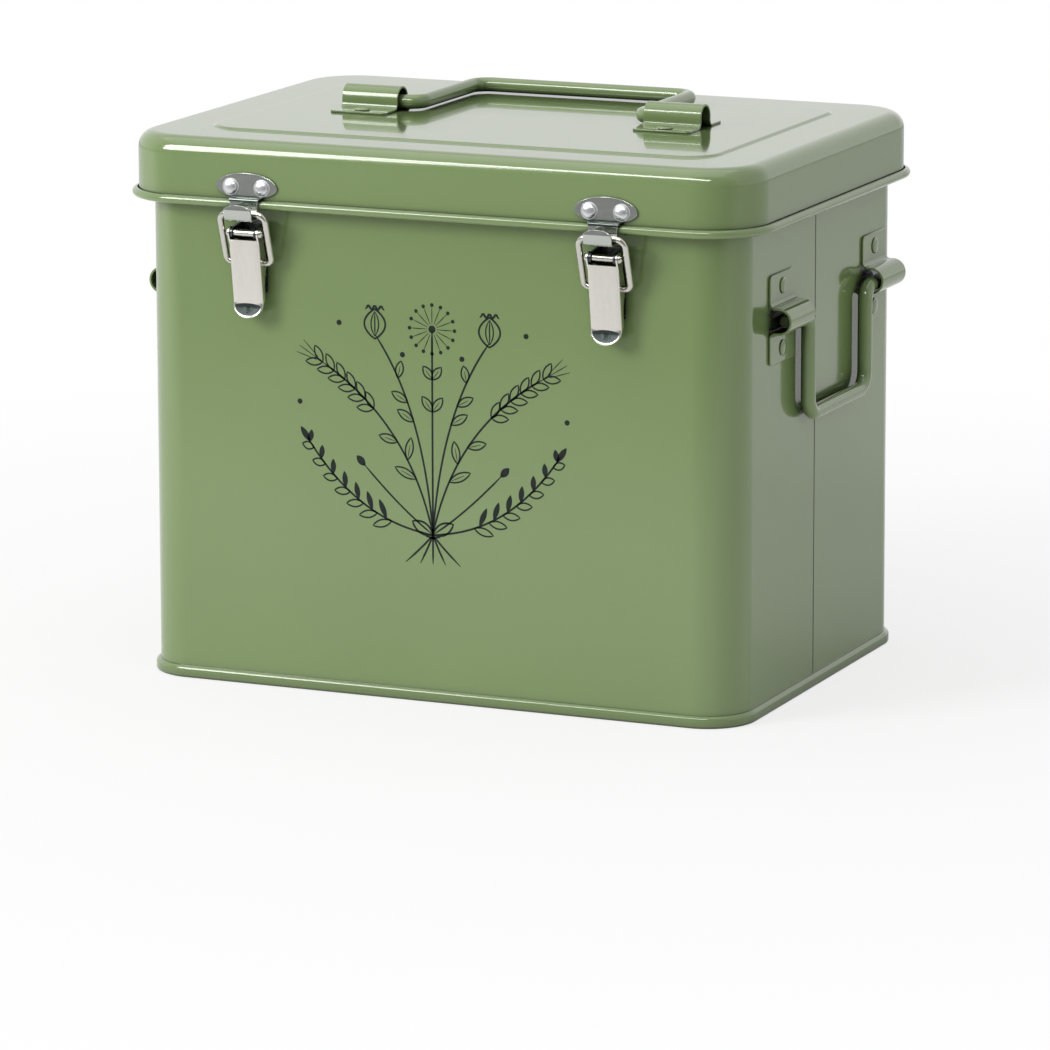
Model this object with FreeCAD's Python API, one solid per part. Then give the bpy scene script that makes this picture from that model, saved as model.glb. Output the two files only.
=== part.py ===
import FreeCAD, Part
import math
import os

# Seed tin: a deep sheet-steel box with a hinged, deep-drawn lid, two draw latches on the front,
# a drop handle on each end and a third handle that folds flat on the lid.
# Millimetres. X runs along the front, -Y is the front, +Z is up; the origin is the centre of the base.

# ---- sheet metal and wire -------------------------------------------------------------------
sheet = 0.8                   # gauge of the case, the base and the lid
strap = 1.0                   # gauge of the clips, hinge leaves and latch plates
handle_wire = 6.5             # diameter of the three handles
loop_wire = 2.8               # diameter of the latch loops
pin_diameter = 3.0            # latch pins
hinge_pin_diameter = 4.0

# ---- fits -----------------------------------------------------------------------------------
seat_gap = 0.3                # between parts of different bodies that rest on each other
seam_gap = 0.05               # between sheets that are folded together
pin_fit = 0.05                # radial, pin in its bore
rim_gap = 0.1                 # between the lid's rolled rim and the straps that pass over it

# ---- how finely round things are cut --------------------------------------------------------
edge_sides = 4                # flats in the quarter round along the lid's top edge
curl_sides = 2                # flats in each quarter of a rolled edge
saddle_sides = 4              # flats in each quarter of a clip's saddle
strap_sides = 3               # flats in any other bend of a strap
wire_sides = 8
bend_sides = 6                # flats in each bend of a wire
rivet_sides = 8

# ---- case -----------------------------------------------------------------------------------
case_width = 280.0
case_depth = 199.0
case_corner_radius = 20.5
case_curl_diameter = 4.4      # top edge of the wall, rolled outwards
lock_seam_y = -6.5            # upright seam on the right end
lock_seam_width = 7.0
lock_seam_groove = 0.7

# ---- base, crimped round the foot of the wall -----------------------------------------------
base_rim_height = 5.4
base_rim_overhang = 2.1
base_recess = 3.2
base_rim_round = 1.0
ring_reach = 12.0             # how far the corner pieces of the base and the lid reach inwards

# ---- lid ------------------------------------------------------------------------------------
lid_top = 241.5
lid_skirt = 29.0              # from the lid's top down to the lower edge of its rolled rim
lid_overhang = 7.0
lid_edge_radius = 7.5
lid_rim_diameter = 3.7
panel_border = 29.5           # from the lid's wall in to the raised panel
panel_rise = 0.9
panel_slope = 1.4
panel_corner_radius = 14.0

# ---- handles and their clips ----------------------------------------------------------------
clip_bore = 9.8               # inside of the saddle, loose round the handle wire
clip_foot_length = 13.6
clip_flare = 1.2              # how far the saddle's round sinks into its feet
clip_bend_radius = 1.6
clip_rivet_spacing = 27.0
side_clip_width = 28.5
side_clip_spacing = 111.5
side_handle_play = 3.75       # between each arm and its clip, with the handle in the middle
side_handle_drop = 45.0
side_handle_z = 171.0         # middle of the clips
seam_side_shift = 8.0         # the right-hand handle sits back, so that its clip clears the seam
top_clip_width = 27.0
top_clip_spacing = 145.0
top_handle_play = 3.05        # between each arm and its clip, with the handle in the middle
top_handle_shift = 1.6        # the loose handle has slid to the right in its clips
top_handle_reach = 64.5
top_handle_lift = 4.2         # wire's centre above the raised panel
handle_bend_radius = 8.0
stub_bend_radius = 6.5
stub_depth = 20.5             # how far the wire's turned end reaches past the clip's inner end

# ---- draw latches ---------------------------------------------------------------------------
latch_spacing = 168.0
latch_pin_head = 4.2
pivot_out = 9.8               # lever pivot, from the case wall
pivot_below_rim = 10.5        # lever pivot, below the lid's rim
link_in = 4.5                 # loop pivot, nearer the wall than the lever pivot
link_down = 13.5              # loop pivot, below the lever pivot
lever_width = 14.4
lever_gauge = 0.8
lever_tilt = 8.0              # degrees, the lever's foot leans towards the wall
lever_face = 1.9              # outer face, in front of the pivot's axis
lever_start = 2.8
lever_length = 28.4
lever_tip = 6.0
lever_tip_flare = 24.0        # degrees
lever_ear_radius = 2.6
lever_lug_radius = 2.3
lever_flange = 3.2
loop_legs = 21.4              # centre to centre
loop_corner_radius = 4.0
loop_end_radius = 2.6
loop_end = 2.4                # straight end of the wire, through the lever's flange
hook_play = 2.6               # room in front of the loop's bar while it swings out of the hook
hook_drop = 0.6               # room under the loop's bar
hook_floor_below_rim = 3.65
hook_bend_radius = 1.5
hook_lip = 4.0                # height of the hook's front band
hook_crown = 2.8
keeper_neck = 13.0
keeper_plate_width = 29.0
keeper_plate_rise = 6.4       # the oval reaches further above its rivets than below them
keeper_plate_drop = 5.0
keeper_plate_above_rim = 9.0
keeper_step_radius = 0.8
keeper_rivet_spacing = 14.8
keeper_neck_fillet = 2.0
base_plate_length = 31.0
base_plate_above_pivot = 4.0
base_ear_radius = 2.4
base_ear_foot = 5.2
base_rivet_low = 25.0
base_rivet_high = 17.0

# ---- hinges ---------------------------------------------------------------------------------
hinge_spacing = 168.0
hinge_width = 36.0
hinge_side_gap = 0.3
hinge_below_rim = 3.6
leaf_case_length = 30.0
leaf_case_bend = 16.0         # where the case leaf leaves the wall, below the pin
leaf_lid_length = 25.0
leaf_lid_bend = 13.0          # where the lid leaf leaves the lid's wall, above the pin
leaf_bend_radius = 1.5
hinge_rivet_spacing = 22.0
hinge_rivet_inset = 5.0

# ---- rivets ---------------------------------------------------------------------------------
clip_rivet_head = 7.0
clip_rivet_dome = 1.0
bright_rivet_head = 6.4
bright_rivet_dome = 2.0

# ---- worked out from the sizes above --------------------------------------------------------
rim_z = lid_top - lid_skirt
front = -case_depth / 2
back = case_depth / 2
right = case_width / 2
panel_top = lid_top + panel_rise
curl_radius = case_curl_diameter / 2
clip_radius = clip_bore / 2
clip_centre = strap + clip_radius - clip_flare
clip_half_length = clip_radius + strap + clip_foot_length
side_handle_arms = side_clip_spacing - side_clip_width - handle_wire - 2 * side_handle_play
top_handle_arms = top_clip_spacing - top_clip_width - handle_wire - 2 * top_handle_play
pivot_z = rim_z - pivot_below_rim
hook_floor = rim_z - hook_floor_below_rim
neck_in = lid_overhang + (lid_rim_diameter - sheet) + rim_gap
bar_out = neck_in + strap + seat_gap + loop_wire / 2
bar_z = hook_floor + hook_drop + loop_wire / 2
hinge_bore = hinge_pin_diameter / 2 + pin_fit
hinge_out = neck_in + hinge_bore + strap
hinge_z = rim_z - hinge_below_rim


def vec(x, y, z):
    return FreeCAD.Vector(x, y, z)


# Places on the box: local x points out of the wall, local z points up it (or, on the lid, forwards).
FRONT = FreeCAD.Rotation(vec(0, 0, 1), -90)
RIGHT = FreeCAD.Rotation(vec(0, 0, 1), 0)
LEFT = FreeCAD.Rotation(vec(0, 0, 1), 180)
BACK = FreeCAD.Rotation(vec(0, 0, 1), 90)
TOP = FreeCAD.Rotation(vec(0, 0, 1), vec(-1, 0, 0), vec(0, -1, 0), "XYZ")


def put(shape, position, rotation):
    """A copy of a shape, turned and then moved to its place on the box."""
    placed = shape.copy()
    placed.Placement = FreeCAD.Placement(position, rotation)
    return placed


def save(name, shape):
    shape.exportStep("parts/" + name + ".step")


# ---- sections of bent sheet -----------------------------------------------------------------
def bend_line(centre, begin, end, ways):
    """One side of a bend: a single arc, or as many flats as ways asks for."""
    first = begin - centre
    last = end - centre
    turn = math.atan2(first.x * last.z - first.z * last.x, first.x * last.x + first.z * last.z)
    points = []
    for step in range(2 * max(ways, 1) + 1):
        angle = turn * step / (2 * max(ways, 1))
        cosine = math.cos(angle)
        sine = math.sin(angle)
        points.append(centre + vec(first.x * cosine - first.z * sine, 0, first.x * sine + first.z * cosine))
    if not ways:
        return [Part.Arc(begin, points[1], end).toShape()]
    corners = points[::2]
    return [Part.LineSegment(p, q).toShape() for p, q in zip(corners, corners[1:])]


def strip_edges(path, radii, gauge, flats=None):
    """Outline of a strip of even gauge in the local XZ plane.

    path is the middle line's corner points (x, z); radii gives the middle line's radius at each
    inner corner, so the inside of a bend is half a gauge tighter and the outside half a gauge wider.
    """
    points = [vec(x, 0, z) for x, z in path]
    sides = {1: [], -1: []}
    starts = points[0]
    for index, corner in enumerate(points[1:-1]):
        into = (corner - points[index]).normalize()
        out_of = (points[index + 2] - corner).normalize()
        turn = into.getAngle(out_of)
        radius = radii[index]
        trim = radius * math.tan(turn / 2)
        begin = corner - into * trim
        end = corner + out_of * trim
        bisector = (out_of - into).normalize()
        centre = corner + bisector * (radius / math.cos(turn / 2))
        for side in sides:
            shift_in = vec(-into.z, 0, into.x) * (side * gauge / 2)
            shift_out = vec(-out_of.z, 0, out_of.x) * (side * gauge / 2)
            if (begin - starts).Length > 1e-6:
                sides[side].append(Part.LineSegment(starts + shift_in, begin + shift_in).toShape())
            if (begin + shift_in - centre).Length > 1e-6:
                ways = flats[index] if flats else 0
                sides[side] += bend_line(centre, begin + shift_in, end + shift_out, ways)
        starts = end
    last = (points[-1] - points[-2]).normalize()
    for side in sides:
        shift = vec(-last.z, 0, last.x) * (side * gauge / 2)
        if (points[-1] - starts).Length > 1e-6:
            sides[side].append(Part.LineSegment(starts + shift, points[-1] + shift).toShape())
    first = (points[1] - points[0]).normalize()
    for point, direction in ((points[0], first), (points[-1], last)):
        shift = vec(-direction.z, 0, direction.x) * (gauge / 2)
        sides[1].append(Part.LineSegment(point + shift, point - shift).toShape())
    return sides[1] + sides[-1]


def section(edges):
    return Part.Face(Part.Wire(Part.__sortEdges__(edges)))


def folded_strap(path, radii, gauge, width, flats=None):
    """A folded strap, as wide as width along local Y and centred on it."""
    face = section(strip_edges(path, radii, gauge, flats))
    face.translate(vec(0, -width / 2, 0))
    return face.extrude(vec(0, width, 0))


# ---- rings that follow the rounded rectangle of the case ------------------------------------
def ring(profile):
    """Carries a section round the case: x in the section is the distance out from the case wall."""
    straight_x = case_width - 2 * case_corner_radius
    straight_y = case_depth - 2 * case_corner_radius
    solids = []
    for rotation, half, length in (
        (RIGHT, case_width / 2, straight_y),
        (LEFT, case_width / 2, straight_y),
        (FRONT, case_depth / 2, straight_x),
        (BACK, case_depth / 2, straight_x),
    ):
        side = profile.copy()
        side.translate(vec(half, -length / 2, 0))
        solids.append(put(side.extrude(vec(0, length, 0)), vec(0, 0, 0), rotation))
    for sign_x, sign_y, turn in ((1, 1, 0), (-1, 1, 90), (-1, -1, 180), (1, -1, 270)):
        corner = profile.copy()
        corner.translate(vec(case_corner_radius, 0, 0))
        quarter = corner.revolve(vec(0, 0, 0), vec(0, 0, 1), 90)
        centre = vec(sign_x * straight_x / 2, sign_y * straight_y / 2, 0)
        solids.append(put(quarter, centre, FreeCAD.Rotation(vec(0, 0, 1), turn)))
    return solids[0].multiFuse(solids[1:]).removeSplitter()


def rounded_rectangle(half_x, half_y, radius, z):
    """Wire of a rectangle with round corners, in the plane at height z."""
    edges = []
    near_x = half_x - radius
    near_y = half_y - radius
    for turn in range(4):
        angle = math.pi / 2 * turn
        sign_x = (1, -1, -1, 1)[turn]
        sign_y = (1, 1, -1, -1)[turn]
        centre = vec(sign_x * near_x, sign_y * near_y, z)
        arc_points = [
            centre + vec(radius * math.cos(angle + part), radius * math.sin(angle + part), 0)
            for part in (0, math.pi / 4, math.pi / 2)
        ]
        edges.append(Part.Arc(*arc_points).toShape())
    for turn in range(4):
        begin = edges[turn].Vertexes[-1].Point
        end = edges[(turn + 1) % 4].Vertexes[0].Point
        edges.append(Part.LineSegment(begin, end).toShape())
    return Part.Wire(Part.__sortEdges__(edges))


def inner_plate(z, gauge):
    """Flat sheet inside a ring, ring_reach in from the case wall."""
    outline = rounded_rectangle(
        case_width / 2 - ring_reach, case_depth / 2 - ring_reach, case_corner_radius - ring_reach, z
    )
    return Part.Face(outline).extrude(vec(0, 0, gauge))


# ---- round things cut to flats --------------------------------------------------------------
def ring_of_points(centre, across, up, radius, count):
    turns = [2 * math.pi * step / count for step in range(count)]
    return [centre + (across * math.cos(turn) + up * math.sin(turn)) * radius for turn in turns]


def faceted(rings):
    """A solid of flat faces that joins rings of equally many points, closed by its first and last ring."""
    faces = [Part.Face(Part.makePolygon(rim + rim[:1])) for rim in (rings[0], rings[-1])]
    for lower, upper in zip(rings, rings[1:]):
        for step in range(len(lower)):
            following = (step + 1) % len(lower)
            corners = [lower[step], lower[following], upper[following], upper[step], lower[step]]
            faces.append(Part.Face(Part.makePolygon(corners)))
    return Part.Solid(Part.Shell(faces))


def bent_wire(points, radii, flat, diameter):
    """A wire along straight runs joined by bends in one plane, whose normal is flat."""
    first = (points[1] - points[0]).normalize()
    last = (points[-1] - points[-2]).normalize()
    rings = [ring_of_points(points[0], first.cross(flat), flat, diameter / 2, wire_sides)]
    for index, corner in enumerate(points[1:-1]):
        radius = radii[index]
        into = (corner - points[index]).normalize()
        out_of = (points[index + 2] - corner).normalize()
        turn = into.getAngle(out_of)
        centre = corner + (out_of - into).normalize() * (radius / math.cos(turn / 2))
        spoke = corner - into * (radius * math.tan(turn / 2)) - centre
        for step in range(bend_sides + 1):
            cosine = math.cos(turn * step / bend_sides)
            sine = math.sin(turn * step / bend_sides)
            place = centre + spoke * cosine + into * (radius * sine)
            along = into * cosine - spoke * (sine / radius)
            rings.append(ring_of_points(place, along.cross(flat), flat, diameter / 2, wire_sides))
    rings.append(ring_of_points(points[-1], last.cross(flat), flat, diameter / 2, wire_sides))
    return faceted(rings)


# ---- rivets ---------------------------------------------------------------------------------
def rivet_head(diameter, dome):
    """Domed head on local x, seated at x = 0, in two rings of flats; its shank is left out."""
    return faceted([
        ring_of_points(vec(out, 0, 0), vec(0, 1, 0), vec(0, 0, 1), share * diameter / 2, rivet_sides)
        for out, share in ((0, 1.0), (0.62 * dome, 0.74), (dome, 0.34))
    ])


# ---- places of the rivets, on the face of the wall that each one goes through ----------------
side_handle_y = {"right": seam_side_shift, "left": 0.0}
side_turn = {"right": RIGHT, "left": LEFT}
side_wall = {"right": right, "left": -right}
ends = {"front": -1, "rear": 1}
hands = {"left": -1, "right": 1}

side_clip_rivet_places = {
    side: [
        vec(side_wall[side], side_handle_y[side] + sign * side_clip_spacing / 2,
            side_handle_z + up * clip_rivet_spacing / 2)
        for sign in ends.values() for up in (-1, 1)
    ]
    for side in side_turn
}
top_clip_rivet_places = [
    vec(sign * top_clip_spacing / 2, along * clip_rivet_spacing / 2, panel_top)
    for sign in hands.values() for along in (-1, 1)
]
keeper_rivet_places = [
    vec(hand * latch_spacing / 2 + side * keeper_rivet_spacing / 2, front - lid_overhang,
        rim_z + keeper_plate_above_rim)
    for hand in hands.values() for side in (-1, 1)
]
latch_base_rivet_places = [
    vec(hand * latch_spacing / 2, front, pivot_z - down)
    for hand in hands.values() for down in (base_rivet_low, base_rivet_high)
]
hinge_case_rivet_places = [
    vec(hand * hinge_spacing / 2 + side * hinge_rivet_spacing / 2, back,
        hinge_z - leaf_case_length + hinge_rivet_inset)
    for hand in hands.values() for side in (-1, 1)
]
hinge_lid_rivet_places = [
    vec(hand * hinge_spacing / 2 + side * hinge_rivet_spacing / 2, back + lid_overhang,
        hinge_z + leaf_lid_length - hinge_rivet_inset)
    for hand in hands.values() for side in (-1, 1)
]


# ---- case shell: one wrapped sheet, locked at an upright seam, its top edge rolled outwards --
def make_case_shell():
    curl_middle = curl_radius - sheet / 2
    inner_radius = lid_edge_radius - sheet
    aside = (-sheet + curl_radius) - (lid_overhang - lid_edge_radius)
    room = inner_radius - curl_radius - seat_gap
    curl_z = lid_top - lid_edge_radius + math.sqrt(room ** 2 - aside ** 2)
    path = [
        (-sheet / 2, sheet + seam_gap),
        (-sheet / 2, curl_z + curl_middle),
        (-sheet / 2 + 2 * curl_middle, curl_z + curl_middle),
        (-sheet / 2 + 2 * curl_middle, curl_z - curl_middle),
        (-sheet / 2 + curl_middle * 0.75, curl_z - curl_middle),
    ]
    shell = ring(section(strip_edges(path, [curl_middle] * 3, sheet, [curl_sides] * 3)))
    fold_low = base_rim_height
    fold_high = curl_z - curl_radius
    fold = Part.makeBox(
        sheet, lock_seam_width, fold_high - fold_low,
        vec(right - 2 * sheet, lock_seam_y - lock_seam_width / 2, fold_low),
    )
    groove = Part.makeBox(
        sheet, lock_seam_groove, fold_high - fold_low,
        vec(right - sheet / 2, lock_seam_y - lock_seam_groove / 2, fold_low),
    )
    return shell.fuse(fold).cut(groove).removeSplitter()


# ---- base pan: recessed sheet whose edge is crimped round the foot of the wall ---------------
def make_base_pan():
    wall_out = seam_gap
    wall_in = -sheet - seam_gap
    leg = wall_in - sheet
    edge = base_rim_overhang
    soft = base_rim_round
    corners = [
        vec(-ring_reach, 0, base_recess + sheet),
        vec(-ring_reach, 0, base_recess),
        vec(leg, 0, base_recess),
        vec(leg, 0, 0),
        vec(edge - soft, 0, 0),
        vec(edge, 0, soft),
        vec(edge, 0, base_rim_height - soft),
        vec(edge - soft, 0, base_rim_height),
        vec(wall_out, 0, base_rim_height),
        vec(wall_out, 0, sheet),
        vec(wall_in, 0, sheet),
        vec(wall_in, 0, base_recess + sheet),
    ]
    edges = [
        Part.LineSegment(begin, end).toShape() for begin, end in zip(corners, corners[1:] + corners[:1])
    ]
    rim = ring(section(edges))
    return rim.fuse(inner_plate(base_recess, sheet)).removeSplitter()


# ---- lid shell: deep-drawn, with a raised panel and a rolled rim -----------------------------
def make_lid_shell():
    rim_middle = (lid_rim_diameter - sheet) / 2
    wall = lid_overhang - sheet / 2
    path = [
        (-ring_reach, lid_top - sheet / 2),
        (wall, lid_top - sheet / 2),
        (wall, rim_z + sheet / 2),
        (wall + 2 * rim_middle, rim_z + sheet / 2),
        (wall + 2 * rim_middle, rim_z + sheet / 2 + 2 * rim_middle),
        (wall + rim_middle * 0.75, rim_z + sheet / 2 + 2 * rim_middle),
    ]
    radii = [lid_edge_radius - sheet / 2] + [rim_middle] * 3
    skirt = ring(section(strip_edges(path, radii, sheet, [edge_sides] + [curl_sides] * 3)))
    half_x = case_width / 2 + lid_overhang - panel_border
    half_y = case_depth / 2 + lid_overhang - panel_border

    def mound(drop):
        foot = rounded_rectangle(
            half_x + panel_slope, half_y + panel_slope, panel_corner_radius + panel_slope, lid_top - drop
        )
        crest = rounded_rectangle(half_x, half_y, panel_corner_radius, panel_top - drop)
        return Part.makeLoft([foot, crest], True, True)

    plate = inner_plate(lid_top - sheet, sheet)
    return skirt.multiFuse([plate, mound(0)]).cut(mound(sheet)).removeSplitter()


# ---- saddle clip: a strap arched over the handle's turned end, one rivet through each foot ---
def make_clip(width):
    arch = clip_radius + strap / 2
    crest = clip_centre + clip_radius + strap / 2
    path = [
        (strap / 2, clip_half_length),
        (strap / 2, arch),
        (crest, arch),
        (crest, -arch),
        (strap / 2, -arch),
        (strap / 2, -clip_half_length),
    ]
    radii = [clip_bend_radius, arch, arch, clip_bend_radius]
    return folded_strap(path, radii, strap, width, [strap_sides, saddle_sides, saddle_sides, strap_sides])


# ---- handle: round wire bent to a bail, its ends turned outwards into the clips --------------
def make_handle(arms, drop, inner_end):
    half = arms / 2
    tip = inner_end + stub_depth
    points = [
        vec(0, -tip, 0),
        vec(0, -half, 0),
        vec(0, -half, -drop),
        vec(0, half, -drop),
        vec(0, half, 0),
        vec(0, tip, 0),
    ]
    radii = [stub_bend_radius, handle_bend_radius, handle_bend_radius, stub_bend_radius]
    return bent_wire(points, radii, vec(1, 0, 0), handle_wire)


# ---- hinge leaves: straps rolled round the pin ----------------------------------------------
def rolled_leaf(path, radii, knuckles):
    """A leaf in the local XZ plane of its wall, cut back to its knuckles beside the pin."""
    leaf = folded_strap(path, radii, strap, hinge_width, [strap_sides, strap_sides, 0, 0, 0])
    knuckle_reach = hinge_bore + strap + hinge_side_gap
    third = hinge_width / 3
    for index in range(3):
        if index in knuckles:
            continue
        low = -hinge_width / 2 + index * third - hinge_side_gap
        notch = Part.makeBox(
            2 * knuckle_reach, third + 2 * hinge_side_gap, 2 * knuckle_reach,
            vec(hinge_out - knuckle_reach, low, -knuckle_reach),
        )
        leaf = leaf.cut(notch)
    return leaf


def make_case_leaf():
    roll = hinge_bore + strap / 2
    path = [
        (strap / 2, -leaf_case_length),
        (strap / 2, -leaf_case_bend),
        (hinge_out - roll, -roll - 2 * strap),
        (hinge_out - roll, roll),
        (hinge_out + roll, roll),
        (hinge_out + roll, -roll),
        (hinge_out, -roll),
    ]
    radii = [leaf_bend_radius, leaf_bend_radius, roll, roll, roll]
    return rolled_leaf(path, radii, (0, 2))


def make_lid_leaf():
    roll = hinge_bore + strap / 2
    wall = lid_overhang + strap / 2
    path = [
        (wall, leaf_lid_length),
        (wall, leaf_lid_bend),
        (hinge_out - roll, leaf_lid_bend - 2 * (hinge_out - roll - wall)),
        (hinge_out - roll, -roll),
        (hinge_out + roll, -roll),
        (hinge_out + roll, roll),
        (hinge_out, roll),
    ]
    radii = [leaf_bend_radius, leaf_bend_radius, roll, roll, roll]
    return rolled_leaf(path, radii, (1,))


def make_hinge_pin():
    length = hinge_width - 2 * strap
    return Part.makeCylinder(
        hinge_pin_diameter / 2, length, vec(hinge_out, -length / 2, 0), vec(0, 1, 0)
    )


# ---- keeper: oval plate on the lid, its neck stepped over the rim and turned up as a hook ----
def make_keeper():
    face = lid_overhang + strap / 2
    neck = neck_in + strap / 2
    floor = hook_floor - strap / 2
    band = bar_out + loop_wire / 2 + hook_play + strap / 2
    bend = hook_bend_radius + strap / 2
    plate_z = rim_z + keeper_plate_above_rim
    plate_top = plate_z + keeper_plate_rise
    step_z = rim_z + lid_rim_diameter + rim_gap + strap / 2
    path = [
        (face, plate_top),
        (face, step_z),
        (neck, step_z),
        (neck, floor),
        (band, floor),
        (band, floor + hook_lip),
    ]
    radii = [keeper_step_radius, keeper_step_radius, bend, bend]
    blank = folded_strap(path, radii, strap, keeper_plate_width, [strap_sides] * 4)
    half_neck = keeper_neck / 2
    neck_low = floor - 2 * strap
    halves = [
        Part.ArcOfEllipse(Part.Ellipse(vec(0, 0, 0), keeper_plate_width / 2, reach), begin, begin + math.pi)
        for reach, begin in ((keeper_plate_rise, 0), (keeper_plate_drop, math.pi))
    ]
    oval = Part.Face(Part.Wire([half.toShape() for half in halves])).extrude(vec(0, 0, 2 * band))
    stem = Part.makeBox(
        keeper_neck, plate_z - neck_low, 2 * band, vec(-half_neck, neck_low - plate_z, 0)
    )
    outline = oval.fuse(stem).removeSplitter()
    inner_corners = [
        edge for edge in outline.Edges
        if abs(edge.BoundBox.ZLength - 2 * band) < 0.01
        and abs(abs(edge.CenterOfMass.x) - half_neck) < 0.01
        and -keeper_plate_drop < edge.CenterOfMass.y < 0
    ]
    cutter = outline.makeFillet(keeper_neck_fillet, inner_corners)
    upright = FreeCAD.Rotation(vec(0, 1, 0), vec(0, 0, 1), vec(1, 0, 0), "XYZ")
    keeper = blank.common(put(cutter, vec(0, 0, plate_z), upright))
    lip_z = floor + hook_lip
    crown = Part.Face(Part.Wire([
        Part.Arc(vec(0, -half_neck, lip_z), vec(0, 0, lip_z + hook_crown), vec(0, half_neck, lip_z)).toShape(),
        Part.LineSegment(vec(0, half_neck, lip_z), vec(0, -half_neck, lip_z)).toShape(),
    ]))
    crown = crown.extrude(vec(strap, 0, 0))
    crown.translate(vec(band - strap / 2, 0, 0))
    return keeper.fuse(crown).removeSplitter().Solids[0]


# ---- latch base: a plate riveted to the wall with two ears that carry the lever's pin --------
def make_latch_base():
    half = lever_width / 2 - lever_gauge - seat_gap
    plate = Part.makeBox(
        strap, 2 * half, base_plate_length,
        vec(0, -half, pivot_z + base_plate_above_pivot - base_plate_length),
    )
    solids = [plate]
    bore = Part.makeCylinder(
        pin_diameter / 2 + pin_fit, 2 * lever_width, vec(pivot_out, -lever_width, pivot_z), vec(0, 1, 0)
    )
    for low in (-half, half - strap):
        eye = Part.makeCylinder(base_ear_radius, strap, vec(pivot_out, low, pivot_z), vec(0, 1, 0))
        web = Part.Face(Part.makePolygon([
            vec(0, low, pivot_z - base_ear_foot),
            vec(0, low, pivot_z + base_plate_above_pivot),
            vec(pivot_out, low, pivot_z + base_ear_radius),
            vec(pivot_out, low, pivot_z - base_ear_radius),
            vec(0, low, pivot_z - base_ear_foot),
        ])).extrude(vec(0, strap, 0))
        solids += [eye, web]
    return solids[0].multiFuse(solids[1:]).removeSplitter().cut(bore)


def make_latch_pin():
    half = lever_width / 2 + pin_fit
    head = (loop_legs - loop_wire) / 2 - seat_gap - half
    pin = Part.makeCylinder(pin_diameter / 2, 2 * half, vec(pivot_out, -half, pivot_z), vec(0, 1, 0))
    heads = [
        put(rivet_head(latch_pin_head, head), vec(pivot_out, side * half, pivot_z),
            FreeCAD.Rotation(vec(1, 0, 0), vec(0, side, 0)))
        for side in (-1, 1)
    ]
    return pin.multiFuse(heads).removeSplitter()


# ---- lever: a folded channel, ears round the pin, lugs for the loop and a flared thumb tip ---
def make_lever():
    """Modelled with the lever upright and its pivot at the origin, then leaned and moved."""
    tilt = math.radians(lever_tilt)
    link_s = link_in * math.sin(tilt) + link_down * math.cos(tilt)
    link_n = -link_in * math.cos(tilt) + link_down * math.sin(tilt)
    half = lever_width / 2
    plate = Part.makeBox(
        lever_gauge, lever_width, lever_length,
        vec(lever_face - lever_gauge, -half, -lever_start - lever_length),
    )
    solids = [plate]
    flange_end = -lever_start - lever_length
    for low in (-half, half - lever_gauge):
        ear = Part.makeCylinder(lever_ear_radius, lever_gauge, vec(0, low, 0), vec(0, 1, 0))
        lug = Part.makeCylinder(lever_lug_radius, lever_gauge, vec(link_n, low, -link_s), vec(0, 1, 0))
        cheek = Part.Face(Part.makePolygon([
            vec(lever_face, low, -lever_ear_radius / 2),
            vec(-lever_ear_radius, low, 0),
            vec(link_n - lever_lug_radius, low, -link_s),
            vec(link_n - lever_lug_radius / 2, low, -link_s - lever_lug_radius * 0.8),
            vec(lever_face - lever_flange, low, -1.6 * link_s),
            vec(lever_face - lever_flange * 0.8, low, flange_end),
            vec(lever_face, low, flange_end),
            vec(lever_face, low, -lever_ear_radius / 2),
        ])).extrude(vec(0, lever_gauge, 0))
        solids += [ear, lug, cheek]
    tip_width = lever_width / 2
    tip_face = Part.Face(Part.Wire([
        Part.LineSegment(vec(0, -tip_width, 0), vec(0, tip_width, 0)).toShape(),
        Part.Arc(vec(0, tip_width, 0), vec(0, 0, -lever_tip), vec(0, -tip_width, 0)).toShape(),
    ]))
    tip = tip_face.extrude(vec(-lever_gauge, 0, 0))
    tip = put(tip, vec(lever_face, 0, flange_end), FreeCAD.Rotation(vec(0, 1, 0), -lever_tip_flare))
    knee = Part.makeCylinder(lever_gauge / 2, lever_width, vec(lever_face - lever_gauge / 2, -half, flange_end),
                             vec(0, 1, 0))
    solids += [tip, knee]
    lever = solids[0].multiFuse(solids[1:]).removeSplitter()
    pin_bore = Part.makeCylinder(
        pin_diameter / 2 + pin_fit, 2 * lever_width, vec(0, -lever_width, 0), vec(0, 1, 0)
    )
    loop_bore = Part.makeCylinder(
        loop_wire / 2 + pin_fit, 2 * lever_width, vec(link_n, -lever_width, -link_s), vec(0, 1, 0)
    )
    lever = lever.cut([pin_bore, loop_bore])
    return put(lever, vec(pivot_out, 0, pivot_z), FreeCAD.Rotation(vec(0, 1, 0), lever_tilt))


# ---- loop: wire that hangs in the lever's lugs and crosses behind the keeper's hook ----------
def make_loop():
    low = vec(pivot_out - link_in, 0, pivot_z - link_down)
    high = vec(bar_out, 0, bar_z)
    half = loop_legs / 2
    side = vec(0, half, 0)
    end = vec(0, half - loop_end_radius - loop_end, 0)
    points = [low - end, low - side, high - side, high + side, low + side, low + end]
    radii = [loop_end_radius, loop_corner_radius, loop_corner_radius, loop_end_radius]
    flat = (high - low).cross(vec(0, 1, 0)).normalize()
    return bent_wire(points, radii, flat, loop_wire)


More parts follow.
